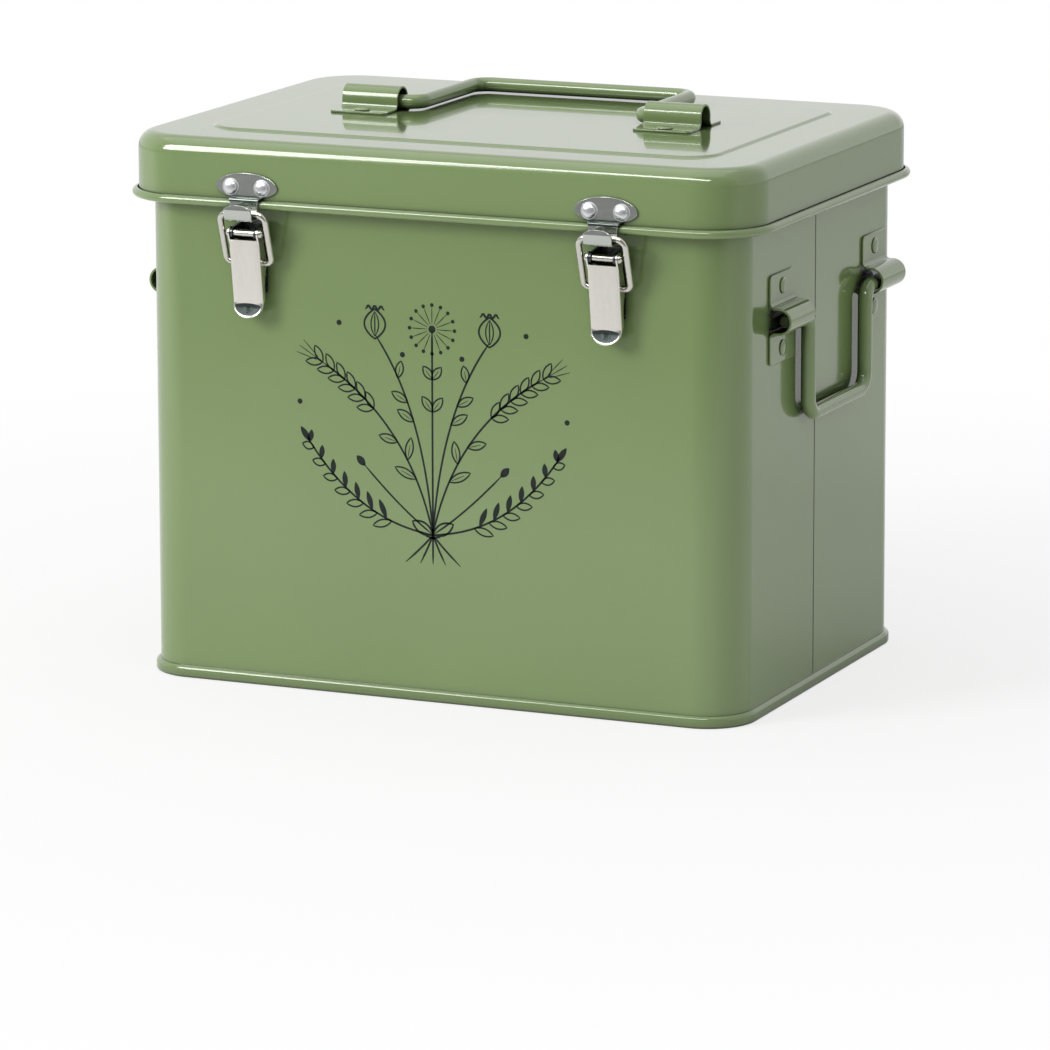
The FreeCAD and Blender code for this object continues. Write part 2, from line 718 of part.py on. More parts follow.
# ---- assembly -------------------------------------------------------------------------------
def main():
    os.makedirs("parts", exist_ok=True)
    save("case_shell", make_case_shell())
    save("base_pan", make_base_pan())
    save("lid_shell", make_lid_shell())

    side_clip = make_clip(side_clip_width)
    side_handle = make_handle(
        side_handle_arms, side_handle_drop, side_clip_spacing / 2 - side_clip_width / 2
    )
    side_slack = clip_radius - handle_wire / 2 - seat_gap
    side_rivet = rivet_head(clip_rivet_head, clip_rivet_dome)
    side_rivets = []
    for side, turn in side_turn.items():
        wall = side_wall[side]
        middle = side_handle_y[side]
        out = 1 if side == "right" else -1
        for end, sign in ends.items():
            place = vec(wall, middle + sign * side_clip_spacing / 2, side_handle_z)
            save("side_clip_" + side + "_" + end, put(side_clip, place, turn))
        axis = vec(wall + out * clip_centre, middle, side_handle_z - side_slack)
        save("side_handle_" + side, put(side_handle, axis, turn))
        for place in side_clip_rivet_places[side]:
            side_rivets.append(put(side_rivet, place + vec(out * strap, 0, 0), turn))
    save("side_clip_rivets", Part.makeCompound(side_rivets))

    top_clip = make_clip(top_clip_width)
    for hand, sign in hands.items():
        save("top_clip_" + hand, put(top_clip, vec(sign * top_clip_spacing / 2, 0, panel_top), TOP))
    top_handle = make_handle(
        top_handle_arms, top_handle_reach, top_clip_spacing / 2 - top_clip_width / 2
    )
    save("top_handle", put(top_handle, vec(top_handle_shift, 0, panel_top + top_handle_lift), TOP))
    save("top_clip_rivets", Part.makeCompound(
        [put(side_rivet, place + vec(0, 0, strap), TOP) for place in top_clip_rivet_places]
    ))

    keeper = make_keeper()
    latch_base = make_latch_base()
    latch_pin = make_latch_pin()
    lever = make_lever()
    loop = make_loop()
    case_leaf = make_case_leaf()
    lid_leaf = make_lid_leaf()
    hinge_pin = make_hinge_pin()
    for hand, sign in hands.items():
        latch_place = vec(sign * latch_spacing / 2, front, 0)
        save("latch_keeper_" + hand, put(keeper, latch_place, FRONT))
        save("latch_base_" + hand, put(latch_base, latch_place, FRONT))
        save("latch_pin_" + hand, put(latch_pin, latch_place, FRONT))
        placed_lever = lever.copy()
        placed_lever.Placement = FreeCAD.Placement(latch_place, FRONT).multiply(lever.Placement)
        save("latch_lever_" + hand, placed_lever)
        save("latch_loop_" + hand, put(loop, latch_place, FRONT))
        hinge_place = vec(sign * hinge_spacing / 2, back, hinge_z)
        save("hinge_case_leaf_" + hand, put(case_leaf, hinge_place, BACK))
        save("hinge_lid_leaf_" + hand, put(lid_leaf, hinge_place, BACK))
        save("hinge_pin_" + hand, put(hinge_pin, hinge_place, BACK))
    bright_rivet = rivet_head(bright_rivet_head, bright_rivet_dome)
    save("keeper_rivets", Part.makeCompound(
        [put(bright_rivet, place + vec(0, -strap, 0), FRONT) for place in keeper_rivet_places]
    ))
    save("latch_base_rivets", Part.makeCompound(
        [put(side_rivet, place + vec(0, -strap, 0), FRONT) for place in latch_base_rivet_places]
    ))
    save("hinge_case_rivets", Part.makeCompound(
        [put(side_rivet, place + vec(0, strap, 0), BACK) for place in hinge_case_rivet_places]
    ))
    save("hinge_lid_rivets", Part.makeCompound(
        [put(side_rivet, place + vec(0, strap, 0), BACK) for place in hinge_lid_rivet_places]
    ))


main()
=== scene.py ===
import math

import bmesh
import bpy
import numpy as np
from mathutils import Matrix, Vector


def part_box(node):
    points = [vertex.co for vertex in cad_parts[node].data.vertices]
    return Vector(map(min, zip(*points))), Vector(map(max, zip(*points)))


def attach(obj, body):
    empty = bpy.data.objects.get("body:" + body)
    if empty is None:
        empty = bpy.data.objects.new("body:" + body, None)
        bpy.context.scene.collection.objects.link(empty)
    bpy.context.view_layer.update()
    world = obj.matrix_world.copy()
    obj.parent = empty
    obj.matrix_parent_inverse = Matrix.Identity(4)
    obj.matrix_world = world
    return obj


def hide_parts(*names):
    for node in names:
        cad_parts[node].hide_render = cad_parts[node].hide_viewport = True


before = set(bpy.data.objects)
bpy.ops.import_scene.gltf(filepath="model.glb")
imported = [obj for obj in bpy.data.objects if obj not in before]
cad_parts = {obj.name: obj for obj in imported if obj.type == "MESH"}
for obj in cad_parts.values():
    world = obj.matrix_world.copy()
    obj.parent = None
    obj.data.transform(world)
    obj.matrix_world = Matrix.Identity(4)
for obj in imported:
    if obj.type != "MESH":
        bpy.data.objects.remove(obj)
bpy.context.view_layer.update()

scene = bpy.context.scene
collection = scene.collection

# ---- Camera ----
# A long lens, a little above the lid and to the right of the front.
# The frame is square and 1050 pixels wide, and the lens axis meets it at (axis_x, axis_y).
azimuth = math.radians(23.586)
elevation = math.radians(10.872)
roll = math.radians(-0.121)
camera_place = (1.1033, -2.5206, 0.6455)
focal_pixels = 6308.0
frame_pixels = 1050.0
axis_x = 531.0
axis_y = 396.7

backwards = np.array([
    math.sin(azimuth) * math.cos(elevation),
    -math.cos(azimuth) * math.cos(elevation),
    math.sin(elevation),
])
level_right = np.array([math.cos(azimuth), math.sin(azimuth), 0.0])
level_up = np.cross(backwards, level_right)
right = math.cos(roll) * level_right + math.sin(roll) * level_up
up = -math.sin(roll) * level_right + math.cos(roll) * level_up


def turned_to(x_axis, y_axis, z_axis, place):
    """The matrix that puts an object at a place, with its own axes along three directions."""
    axes = np.transpose([x_axis, y_axis, z_axis])
    return Matrix([(*row, spot) for row, spot in zip(axes, place)] + [(0, 0, 0, 1)])


camera_data = bpy.data.cameras.new("camera")
camera = bpy.data.objects.new("camera", camera_data)
collection.objects.link(camera)
camera.matrix_world = turned_to(right, up, backwards, camera_place)
camera_data.sensor_width = 36.0
camera_data.lens = focal_pixels / frame_pixels * camera_data.sensor_width
camera_data.shift_x = (frame_pixels / 2 - axis_x) / frame_pixels
camera_data.shift_y = (axis_y - frame_pixels / 2) / frame_pixels
camera_data.clip_end = 20.0
scene.camera = camera

# ---- Case wall ----
# One sheet of 0.8 mm steel, wrapped to a round-cornered box and rolled outwards along its top edge.
# It is stove-enamelled, like all the sheet pieces and straps. Shapes are worked out in millimetres,
# and the wall's face, at wall_x and wall_y, is what every piece on the case is measured from.
sheet = 0.8
corner_radius = 20.5
case_curl = 4.4
curl_tuck = 0.75
wall_foot = 0.85
lid_overhang = 7.0
lid_rim = 3.7


def node_box(node):
    """Lowest and highest corner of a node of the frame, in millimetres."""
    low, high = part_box(node)
    return np.array(low) * 1000, np.array(high) * 1000


lid_low, lid_high = node_box("lid_shell")
wall_x, wall_y = lid_high[:2] - lid_overhang - (lid_rim - sheet)
case_top = node_box("case_shell")[1][2]


def linear(hex_colour):
    """An sRGB hex colour as the linear colour that a shader's socket wants."""
    channels = [int(hex_colour[i:i + 2], 16) / 255 for i in (1, 3, 5)]
    return [c / 12.92 if c <= 0.04045 else ((c + 0.055) / 1.055) ** 2.4 for c in channels] + [1.0]


def add_node(tree, kind, inputs=None, **settings):
    """Adds a node; inputs maps a socket's name or number to a value, to another node's output, or to
    a node, for its first output."""
    node = tree.nodes.new(kind)
    for key, value in settings.items():
        setattr(node, key, value)
    for key, value in (inputs or {}).items():
        if isinstance(value, bpy.types.Node):
            value = value.outputs[0]
        if isinstance(value, bpy.types.NodeSocket):
            tree.links.new(value, node.inputs[key])
        else:
            node.inputs[key].default_value = value
    return node


def new_material(name):
    """An empty material and its node tree."""
    material = bpy.data.materials.new(name)
    material.use_nodes = True
    material.node_tree.nodes.clear()
    return material, material.node_tree


# Patterns of the enamel, by their real size: the drift of its tone, the slow waves of pressed sheet,
# the clouds in its gloss and the orange peel of a coat that was stoved.
tone_drift = 111.0
sheet_wave = 143.0
gloss_cloud = 18.2
orange_peel = 1.613


def make_enamel(name, deep, light):
    """Stoved enamel on pressed sheet: a deep, even green that drifts a little in tone, under a clear
    gloss with a fine orange peel, on a sheet that waves slowly. Painted shade darkens it in narrow crevices."""
    material, tree = new_material(name)
    place = add_node(tree, "ShaderNodeTexCoord").outputs["Object"]
    tone = add_node(tree, "ShaderNodeTexNoise", {"Vector": place, "Scale": 1000 / tone_drift, "Detail": 3.0})
    colour = add_node(tree, "ShaderNodeMix", {
        "Factor": tone, 6: linear(deep), 7: linear(light),
    }, data_type="RGBA")
    # Painted shade: the colour is darkened where ambient occlusion finds the surface hemmed in.
    openness = add_node(tree, "ShaderNodeAmbientOcclusion", {"Distance": 0.012}, samples=8)
    crevice_painted_shade = add_node(tree, "ShaderNodeMapRange", {
        "Value": openness.outputs["AO"], "From Min": 0.1, "From Max": 0.8, "To Min": 0.12, "To Max": 1.0,
    })
    shade = add_node(tree, "ShaderNodeVectorMath", {
        0: colour.outputs[2], "Scale": crevice_painted_shade,
    }, operation="SCALE")
    cloud = add_node(tree, "ShaderNodeTexNoise", {
        "Vector": place, "Scale": 1000 / gloss_cloud, "Detail": 4.0,
    })
    rough = add_node(tree, "ShaderNodeMapRange", {
        "Value": cloud, "From Min": 0.3, "From Max": 0.7, "To Min": 0.102, "To Max": 0.144,
    })
    wave = add_node(tree, "ShaderNodeTexNoise", {"Vector": place, "Scale": 1000 / sheet_wave, "Detail": 1.0})
    sheet_bump = add_node(tree, "ShaderNodeBump", {"Height": wave, "Strength": 1.0, "Distance": 0.0003})
    peel = add_node(tree, "ShaderNodeTexNoise", {
        "Vector": place, "Scale": 1000 / orange_peel, "Detail": 2.0,
    })
    peel_bump = add_node(tree, "ShaderNodeBump", {
        "Height": peel, "Strength": 0.12, "Distance": 0.00001, "Normal": sheet_bump,
    })
    shader = add_node(tree, "ShaderNodeBsdfPrincipled", {
        "Base Color": shade, "Roughness": rough, "Normal": peel_bump,
        "Coat Weight": 0.75, "Coat Roughness": 0.03,
    })
    add_node(tree, "ShaderNodeOutputMaterial", {"Surface": shader})
    return material


enamel = make_enamel("green_enamel", "#778D59", "#7E9460")


def carried_round(outline, centre_x, centre_y, radius, steps=20):
    """An outline of (out, z) carried round a rounded rectangle: in each corner it turns 90 degrees about
    (centre_x, centre_y), at radius + out. A row for each point of the outline, a column for each turn."""
    outline = np.array(outline, float)
    angle = math.pi / 2 * (np.arange(4)[:, None] + np.arange(steps + 1) / steps)
    reach = radius + outline[:, 0, None, None]
    x = centre_x * np.array([1, -1, -1, 1])[:, None] + reach * np.cos(angle)
    y = centre_y * np.array([1, 1, -1, -1])[:, None] + reach * np.sin(angle)
    z = np.broadcast_to(outline[:, 1, None, None], x.shape)
    return np.stack([x, y, z], axis=-1).reshape(len(outline), -1, 3)


def round_the_case(outline):
    """An outline of (out from the wall's face, z) carried round the case."""
    return carried_round(outline, wall_x - corner_radius, wall_y - corner_radius, corner_radius)


def bent_line(path, radii, steps, spacing=None):
    """Middle line of a bent strip or wire, and the unit normal at each point: straight runs, joined by
    arcs that touch the two runs at each corner. Spacing divides the runs, steps divide each arc."""
    path = np.array(path, float)
    runs = np.diff(path, axis=0)
    along = runs / np.linalg.norm(runs, axis=1, keepdims=True)
    aside = along @ np.array([[0, 1], [-1, 0]])
    turns = np.arctan2((aside[:-1] * along[1:]).sum(axis=1), (along[:-1] * along[1:]).sum(axis=1))
    trims = np.append(radii * np.tan(np.abs(turns) / 2), 0.0)
    points, normals = [path[:1]], [aside[:1]]
    begin = path[0]
    for index, (heading, normal) in enumerate(zip(along, aside)):
        end = path[index + 1] - heading * trims[index]
        length = np.linalg.norm(end - begin)
        if length > 1e-6:
            count = max(1, math.ceil(length / spacing)) if spacing else 1
            points.append(begin + (end - begin) * np.arange(1, count + 1)[:, None] / count)
            normals.append(np.repeat([normal], count, axis=0))
        if index < len(turns):
            angle = turns[index] * np.arange(1, steps + 1)[:, None] / steps
            turned = normal * np.cos(angle) - heading * np.sin(angle)
            points.append(end + math.copysign(radii[index], turns[index]) * (normal - turned))
            normals.append(turned)
            begin = path[index + 1] + along[index + 1] * trims[index]
    return np.concatenate(points), np.concatenate(normals)


def skin(grid, closed=False):
    """Quads between successive rows of points; closed joins the last row to the first, else both rows
    are capped. Rows close on themselves."""
    grid = np.array(grid, float)
    rows, count = grid.shape[:2]
    row = np.arange(rows if closed else rows - 1)[:, None]
    after = (row + 1) % rows
    column = np.arange(count)
    beside = (column + 1) % count
    corners = [row * count + column, row * count + beside, after * count + beside, after * count + column]
    faces = np.stack(corners, axis=-1).reshape(-1, 4).tolist()
    if not closed:
        faces += [list(range(count)), list(range((rows - 1) * count, rows * count))]
    return grid.reshape(-1, 3), faces


crease = 34


def add_piece(name, shape, material, body, slot, stands_for=(), sharp=crease, bevel=0.0, weighted=False):
    """A piece from vertices in millimetres, riding on a body. It is shaded smooth, with an edge where
    faces meet at more than sharp degrees."""
    vertices, faces = shape
    mesh = bpy.data.meshes.new(name)
    mesh.from_pydata((vertices * 0.001).tolist(), [], faces)
    work = bmesh.new()
    work.from_mesh(mesh)
    bmesh.ops.remove_doubles(work, verts=work.verts, dist=1e-7)
    bmesh.ops.recalc_face_normals(work, faces=work.faces)
    work.to_mesh(mesh)
    work.free()
    mesh.polygons.foreach_set("use_smooth", [True] * len(mesh.polygons))
    mesh.set_sharp_from_angle(angle=math.radians(sharp))
    mesh.materials.append(material)
    piece = bpy.data.objects.new(name, mesh)
    collection.objects.link(piece)
    if bevel:
        soft = piece.modifiers.new("soft_edges", "BEVEL")
        soft.width = bevel * 0.001
        soft.segments = 2
        soft.limit_method = "ANGLE"
        soft.angle_limit = math.radians(sharp)
    if weighted:
        flat = piece.modifiers.new("flat_faces", "WEIGHTED_NORMAL")
        flat.keep_sharp = True
    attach(piece, body)
    if stands_for:
        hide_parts(*stands_for)


curl = (case_curl - sheet) / 2
wall_middle = -sheet / 2
curl_top = case_top - sheet / 2
wall_line, wall_normals = bent_line([
    (wall_middle, wall_foot), (wall_middle, curl_top), (wall_middle + 2 * curl, curl_top),
    (wall_middle + 2 * curl, curl_top - 2 * curl), (wall_middle + curl_tuck * curl, curl_top - 2 * curl),
], [curl] * 3, 10)
wall_outline = np.concatenate([
    wall_line - wall_normals * sheet / 2, (wall_line + wall_normals * sheet / 2)[::-1],
])
add_piece(
    "case_wall", skin(round_the_case(wall_outline), closed=True),
    enamel, "case", "green_enamel", ["case_shell"], weighted=True,
)

# ---- Upright seam ----
# The two ends of the wrapped sheet are hooked into each other on the right end and pressed flat:
# a folded ridge inside and a narrow groove outside, drawn as a dark strip that lies in the wall.
seam_y = -6.5
seam_below_top = 4.5
seam_low = node_box("base_pan")[1][2]
seam_high = case_top - seam_below_top
groove_width = 0.9
groove_depth = 0.3
groove_proud = 0.03
fold_width = 7.0
fold_near = 0.75
fold_far = 1.6
seam_mottle = 3.333


def make_mottled(name, dark, light, mottle, specular):
    """A matt surface that wavers between two colours; mottle is the pattern's size."""
    material, tree = new_material(name)
    place = add_node(tree, "ShaderNodeTexCoord").outputs["Object"]
    noise = add_node(tree, "ShaderNodeTexNoise", {"Vector": place, "Scale": 1000 / mottle, "Detail": 2.0})
    colour = add_node(tree, "ShaderNodeMix", {
        "Factor": noise, 6: linear(dark), 7: linear(light),
    }, data_type="RGBA")
    shader = add_node(tree, "ShaderNodeBsdfPrincipled", {
        "Base Color": colour.outputs[2], "Roughness": 0.5, "Specular IOR Level": specular,
    })
    add_node(tree, "ShaderNodeOutputMaterial", {"Surface": shader})
    return material


# Shadow and a trace of enamel in the groove, so it reads as a dark line and not as black.
seam_shade = make_mottled("seam_shadow", "#252E1D", "#3A4630", seam_mottle, 0.5)


def upright_strip(inner, outer, width):
    """A box along the seam, between two distances from the wall's face: its foot and its top, joined."""
    front, rear = seam_y - width / 2, seam_y + width / 2
    plan = [(inner, front), (outer, front), (outer, rear), (inner, rear)]
    return skin([[(wall_x + x, y, z) for x, y in plan] for z in (seam_low, seam_high)])


groove = upright_strip(-groove_depth, groove_proud, groove_width)
fold = upright_strip(-fold_far, -fold_near, fold_width)
add_piece("case_seam_line", groove, seam_shade, "case", "green_enamel")
add_piece("case_seam_fold", fold, enamel, "case", "green_enamel", bevel=0.3)

# ---- Base ----
# A pan of the same sheet, set up from the ground, whose edge runs down inside the foot of the wall,
# turns round it and is pressed against its face as a rounded rim.
base_high = node_box("base_pan")[1]
base_edge = base_high[0] - wall_x
base_rim = base_high[2]
pan_recess = 3.2
pan_reach = 12.0
pan_overlap = 0.1
wall_gap = 0.05
foot_chamfer = 0.25
foot_round = 1.3
rim_round = 1.9
fold_inside = -2 * sheet - wall_gap
quarter = np.radians(np.arange(0, 91, 15))


def at_angle(angle, across=1.0, up=1.0):
    """Points of an ellipse about the origin, at angles from its first axis."""
    return np.stack([across * np.cos(angle), up * np.sin(angle)], axis=-1)


base_outline = np.concatenate([
    [(-pan_reach, pan_recess + sheet), (-pan_reach, pan_recess), (fold_inside, pan_recess)],
    [(fold_inside, foot_chamfer), (fold_inside + foot_chamfer, 0.0)],
    at_angle(quarter - math.pi / 2, foot_round, foot_round) + (base_edge - foot_round, foot_round),
    at_angle(quarter, rim_round, rim_round) + (base_edge - rim_round, base_rim - rim_round),
    [(wall_gap, base_rim), (wall_gap, sheet)],
    [(-sheet - wall_gap, sheet), (-sheet - wall_gap, pan_recess + sheet)],
])


def join(*parts):
    """Several (vertices, faces) as one."""
    starts = np.cumsum([0] + [len(vertices) for vertices, _ in parts])
    faces = [[start + i for i in face] for start, part in zip(starts.tolist(), parts) for face in part[1]]
    return np.concatenate([vertices for vertices, _ in parts]), faces


pan_edge = pan_overlap - pan_reach
pan_shape = skin(round_the_case([(pan_edge, pan_recess), (pan_edge, pan_recess + sheet)]))
add_piece(
    "base", join(skin(round_the_case(base_outline), closed=True), pan_shape),
    enamel, "case", "green_enamel", ["base_pan"], weighted=True,
)

# ---- Lid ----
# Deep drawn from one sheet: a soft top edge, a raised panel with a pressed step round it, and a
# lower edge that is rolled outwards to a thin round rim.
lid_edge = 7.5
panel_rise = 0.9
panel_slope = 2.6
panel_border = 29.5
panel_corner = 14.0
rim_tuck = 0.8
rim_z = lid_low[2]
lid_top = lid_high[2] - panel_rise
rim_curl = (lid_rim - sheet) / 2
rim_middle = rim_z + sheet / 2
lid_middle = lid_overhang - sheet / 2
lid_line, lid_normals = bent_line([
    (-pan_reach, lid_top - sheet / 2), (lid_middle, lid_top - sheet / 2), (lid_middle, rim_middle),
    (lid_middle + 2 * rim_curl, rim_middle), (lid_middle + 2 * rim_curl, rim_middle + 2 * rim_curl),
    (lid_middle + rim_tuck * rim_curl, rim_middle + 2 * rim_curl),
], [lid_edge - sheet / 2] + [rim_curl] * 3, 12)
share = np.linspace(0, 1, 9)
step_out = panel_slope * (1 - share)
step_up = lid_top + panel_rise * (0.5 - 0.5 * np.cos(math.pi * share))


def round_the_panel(height):
    """The step up to the panel, a smooth S: it moves in evenly while its height follows a cosine."""
    return carried_round(
        np.stack([step_out, height], axis=-1), wall_x + lid_overhang - panel_border - panel_corner,
        wall_y + lid_overhang - panel_border - panel_corner, panel_corner,
    )


lid_rows = np.concatenate([
    round_the_panel(step_up)[::-1], round_the_case(lid_line + lid_normals * sheet / 2),
    round_the_case(lid_line - lid_normals * sheet / 2)[::-1], round_the_panel(step_up - sheet),
])
add_piece("lid", skin(lid_rows), enamel, "lid", "green_enamel", ["lid_shell"], weighted=True)

# ---- Saddle clips ----
# Straps of 1 mm steel, arched over the turned ends of the handles, with two round-cornered feet that
# are riveted to the case or the lid. Their sizes out of the wall are those of the handle's wire.
strap = 1.0
clip_bore_radius = 4.9
clip_flare = 1.2
clip_foot = 13.6
clip_foot_corner = 2.2
clip_bend = 2.6
clip_edge = 0.22


def strip(path, radii, gauge, half_width, spacing, steps):
    """A bent strip along local y: a rectangle about each point of the bent line, one gauge thick.
    half_width gives half its width from the lengths to both ends and the height."""
    points, normals = bent_line(path, radii, steps, spacing)
    length = np.append(0, np.cumsum(np.linalg.norm(np.diff(points, axis=0), axis=1)))
    half = half_width(length, length[-1] - length, points[:, 1])
    inner, outer = points - normals * gauge / 2, points + normals * gauge / 2
    corners = [(inner, -half), (inner, half), (outer, half), (outer, -half)]
    return skin(np.stack([np.stack([face[:, 0], y, face[:, 1]], axis=-1) for face, y in corners], axis=1))


def placed(shape, origin, out, along, upwards):
    """Puts local x, y, z along three directions from an origin."""
    return shape[0] @ np.array([out, along, upwards], float) + np.array(origin), shape[1]


# For each face of the box, the directions out of it, along it and up it.
facing = {
    "front": ((0, -1, 0), (1, 0, 0), (0, 0, 1)),
    "right": ((1, 0, 0), (0, 1, 0), (0, 0, 1)),
    "left": ((-1, 0, 0), (0, -1, 0), (0, 0, 1)),
    "back": ((0, 1, 0), (-1, 0, 0), (0, 0, 1)),
    "top": ((0, 0, 1), (-1, 0, 0), (0, -1, 0)),
}


def clip_shape(width):
    """Foot, half circle over the wire, foot; the feet's corners are cut to quarter circles."""
    arch = clip_bore_radius + strap / 2
    crest = strap + clip_bore_radius - clip_flare + arch
    half_length = clip_bore_radius + strap + clip_foot

    def half_width(from_start, from_end, height):
        """Even, but for a quarter circle at each corner of the feet."""
        short = np.maximum(0, clip_foot_corner - np.minimum(from_start, from_end))
        return width / 2 - clip_foot_corner + np.sqrt(clip_foot_corner ** 2 - short ** 2)

    # A hair less than the arch, which keeps a trace of a straight run between its quarter circles.
    bend = arch - 0.01
    return strip([
        (strap / 2, half_length), (strap / 2, arch), (crest, arch),
        (crest, -arch), (strap / 2, -arch), (strap / 2, -half_length),
    ], [clip_bend, bend, bend, clip_bend], strap, half_width, 0.6, 12)


for side in ("right", "left"):
    for end in ("front", "rear"):
        node = "side_clip_" + side + "_" + end
        low, high = node_box(node)
        middle = (low + high) / 2
        seat = (low[0] if side == "right" else high[0], middle[1], middle[2])
        add_piece(
            node + "_strap", placed(clip_shape(high[1] - low[1]), seat, *facing[side]),
            enamel, "case", "green_enamel", [node], bevel=clip_edge,
        )
for hand in ("left", "right"):
    node = "top_clip_" + hand
    low, high = node_box(node)
    seat = ((low[0] + high[0]) / 2, 0, low[2])
    add_piece(
        node + "_strap", placed(clip_shape(high[0] - low[0]), seat, *facing["top"]),
        enamel, "lid", "green_enamel", [node], bevel=clip_edge,
    )

# ---- Handles ----
# Round steel wire bent to a bail, with its ends turned outwards, sprung into the clips and enamelled
# with them. The one on the lid lies loose, a little lower than its solid.
handle_wire = 6.5
handle_bend = 8.0
stub_bend = 6.5
end_room = 0.8
side_arms = 69.0
top_arms = 105.4
top_sag = 0.45
chamfer_share = 0.24


def wire(path, radii, diameter, sides, steps):
    """A round wire along a path in the local y-z plane: a circle about each point of the bent line,
    square to it, and a smaller one past each end for its chamfer."""
    points, normals = bent_line(path, radii, steps)
    chamfer = np.array([points[0] - points[1], points[-1] - points[-2]])
    chamfer *= chamfer_share * diameter / 2 / np.linalg.norm(chamfer, axis=1, keepdims=True)
    points = np.concatenate([points[:1] + chamfer[:1], points, points[-1:] + chamfer[1:]])
    normals = np.concatenate([normals[:1], normals, normals[-1:]])
    radius = np.full((len(points), 1), diameter / 2)
    radius[[0, -1]] *= 1 - chamfer_share
    angle = 2 * math.pi * np.arange(sides) / sides
    swing = radius * np.cos(angle)
    y, z = points[:, :1] + normals[:, :1] * swing, points[:, 1:] + normals[:, 1:] * swing
    return skin(np.stack([radius * np.sin(angle), y, z], axis=-1))


def handle_shape(arms, drop, length):
    """A bail whose arms stand apart by arms and drop down, with its ends turned out to length."""
    half, tip = arms / 2, length / 2 - end_room
    path = [(-tip, 0), (-half, 0), (-half, -drop), (half, -drop), (half, 0), (tip, 0)]
    return wire(path, [stub_bend, handle_bend, handle_bend, stub_bend], handle_wire, 24, 14)


for side in ("right", "left"):
    node = "side_handle_" + side
    low, high = node_box(node)
    axis = (*(low + high)[:2] / 2, high[2] - handle_wire / 2)
    shape = handle_shape(side_arms, high[2] - low[2] - handle_wire, high[1] - low[1])
    add_piece(node + "_wire", placed(shape, axis, *facing[side]), enamel, node, "green_enamel", [node])
low, high = node_box("top_handle")
axis = ((low[0] + high[0]) / 2, low[1] + handle_wire / 2, (low[2] + high[2]) / 2 - top_sag)
shape = handle_shape(top_arms, high[1] - low[1] - handle_wire, high[0] - low[0])
add_piece(
    "top_handle_wire", placed(shape, axis, *facing["top"]),
    enamel, "top_handle", "green_enamel", ["top_handle"],
)

# ---- Rivets ----
# Cold-set heads on the straps: low domes under the enamel, and on the keepers higher ones of plated
# steel, each with a pressed collar. The latches and all that holds them are nickel-plated.
# Each head has a diameter, a height, and a collar or none. A ring of the pole's radius closes it.
low_head = (7.0, 1.0, False)
bright_head = (6.4, 2.0, True)
pole = 0.02

# The strip's drawing marks are finer in truth, and are drawn this coarse so that they show.
grain_width = 1.111
scuff_size = 6.25


def make_nickel(name, tint, smooth, rough, stretch, shaded=None):
    """Nickel plate on drawn strip: a fine grain along the strip and small scuffs, with painted shade in
    crevices.
    shaded(tree, place) gives the mask, painted dark colour and added roughness of a zone that lies in shade."""
    material, tree = new_material(name)
    place = add_node(tree, "ShaderNodeTexCoord").outputs["Object"]
    # Painted shade: the tint is darkened where ambient occlusion finds the surface hemmed in.
    openness = add_node(tree, "ShaderNodeAmbientOcclusion", {"Distance": 0.006}, samples=8)
    crevice_painted_shade = add_node(tree, "ShaderNodeMapRange", {
        "Value": openness.outputs["AO"], "From Min": 0.12, "From Max": 0.7, "To Min": 0.05, "To Max": 1.0,
    })
    colour = add_node(tree, "ShaderNodeVectorMath", {
        0: linear(tint)[:3], "Scale": crevice_painted_shade,
    }, operation="SCALE")
    along = add_node(tree, "ShaderNodeMapping", {"Vector": place, "Scale": stretch})
    grain = add_node(tree, "ShaderNodeTexNoise", {
        "Vector": along, "Scale": 1000 / grain_width, "Detail": 3.0,
    })
    scuffs = add_node(tree, "ShaderNodeTexNoise", {
        "Vector": place, "Scale": 1000 / scuff_size, "Detail": 5.0,
    })
    wear = add_node(tree, "ShaderNodeMath", {0: grain, 1: scuffs}, operation="MULTIPLY")
    roughness = add_node(tree, "ShaderNodeMapRange", {
        "Value": wear, "From Min": 0.12, "From Max": 0.42, "To Min": smooth, "To Max": rough,
    })
    if shaded:
        mask, dark, dull = shaded(tree, place)
        colour = add_node(tree, "ShaderNodeMix", {
            "Factor": mask, 6: colour, 7: linear(dark),
        }, data_type="RGBA").outputs[2]
        roughness = add_node(tree, "ShaderNodeMath", {
            0: mask, 1: dull, 2: roughness,
        }, operation="MULTIPLY_ADD")
    bump = add_node(tree, "ShaderNodeBump", {"Height": grain, "Strength": 0.06, "Distance": 0.00002})
    shader = add_node(tree, "ShaderNodeBsdfPrincipled", {
        "Base Color": colour, "Metallic": 1.0, "Roughness": roughness, "Normal": bump,
    })
    add_node(tree, "ShaderNodeOutputMaterial", {"Surface": shader})
    return material


even_grain = (1.0, 1.0, 1.0)
upright_grain = (1.0, 1.0, 0.05)
nickel = make_nickel("nickel_plate", "#DAD8D2", 0.18, 0.28, upright_grain)
rivet_nickel = make_nickel("nickel_rivet", "#E6E8EA", 0.28, 0.36, even_grain)


def lathed(profile, sides):
    """A profile of (radius, x) turned about the local x axis."""
    profile = np.array(profile)
    angle = 2 * math.pi * np.arange(sides) / sides
    radius = profile[:, :1]
    x = np.broadcast_to(profile[:, 1:], (len(profile), sides))
    return skin(np.stack([x, radius * np.cos(angle), radius * np.sin(angle)], axis=-1))


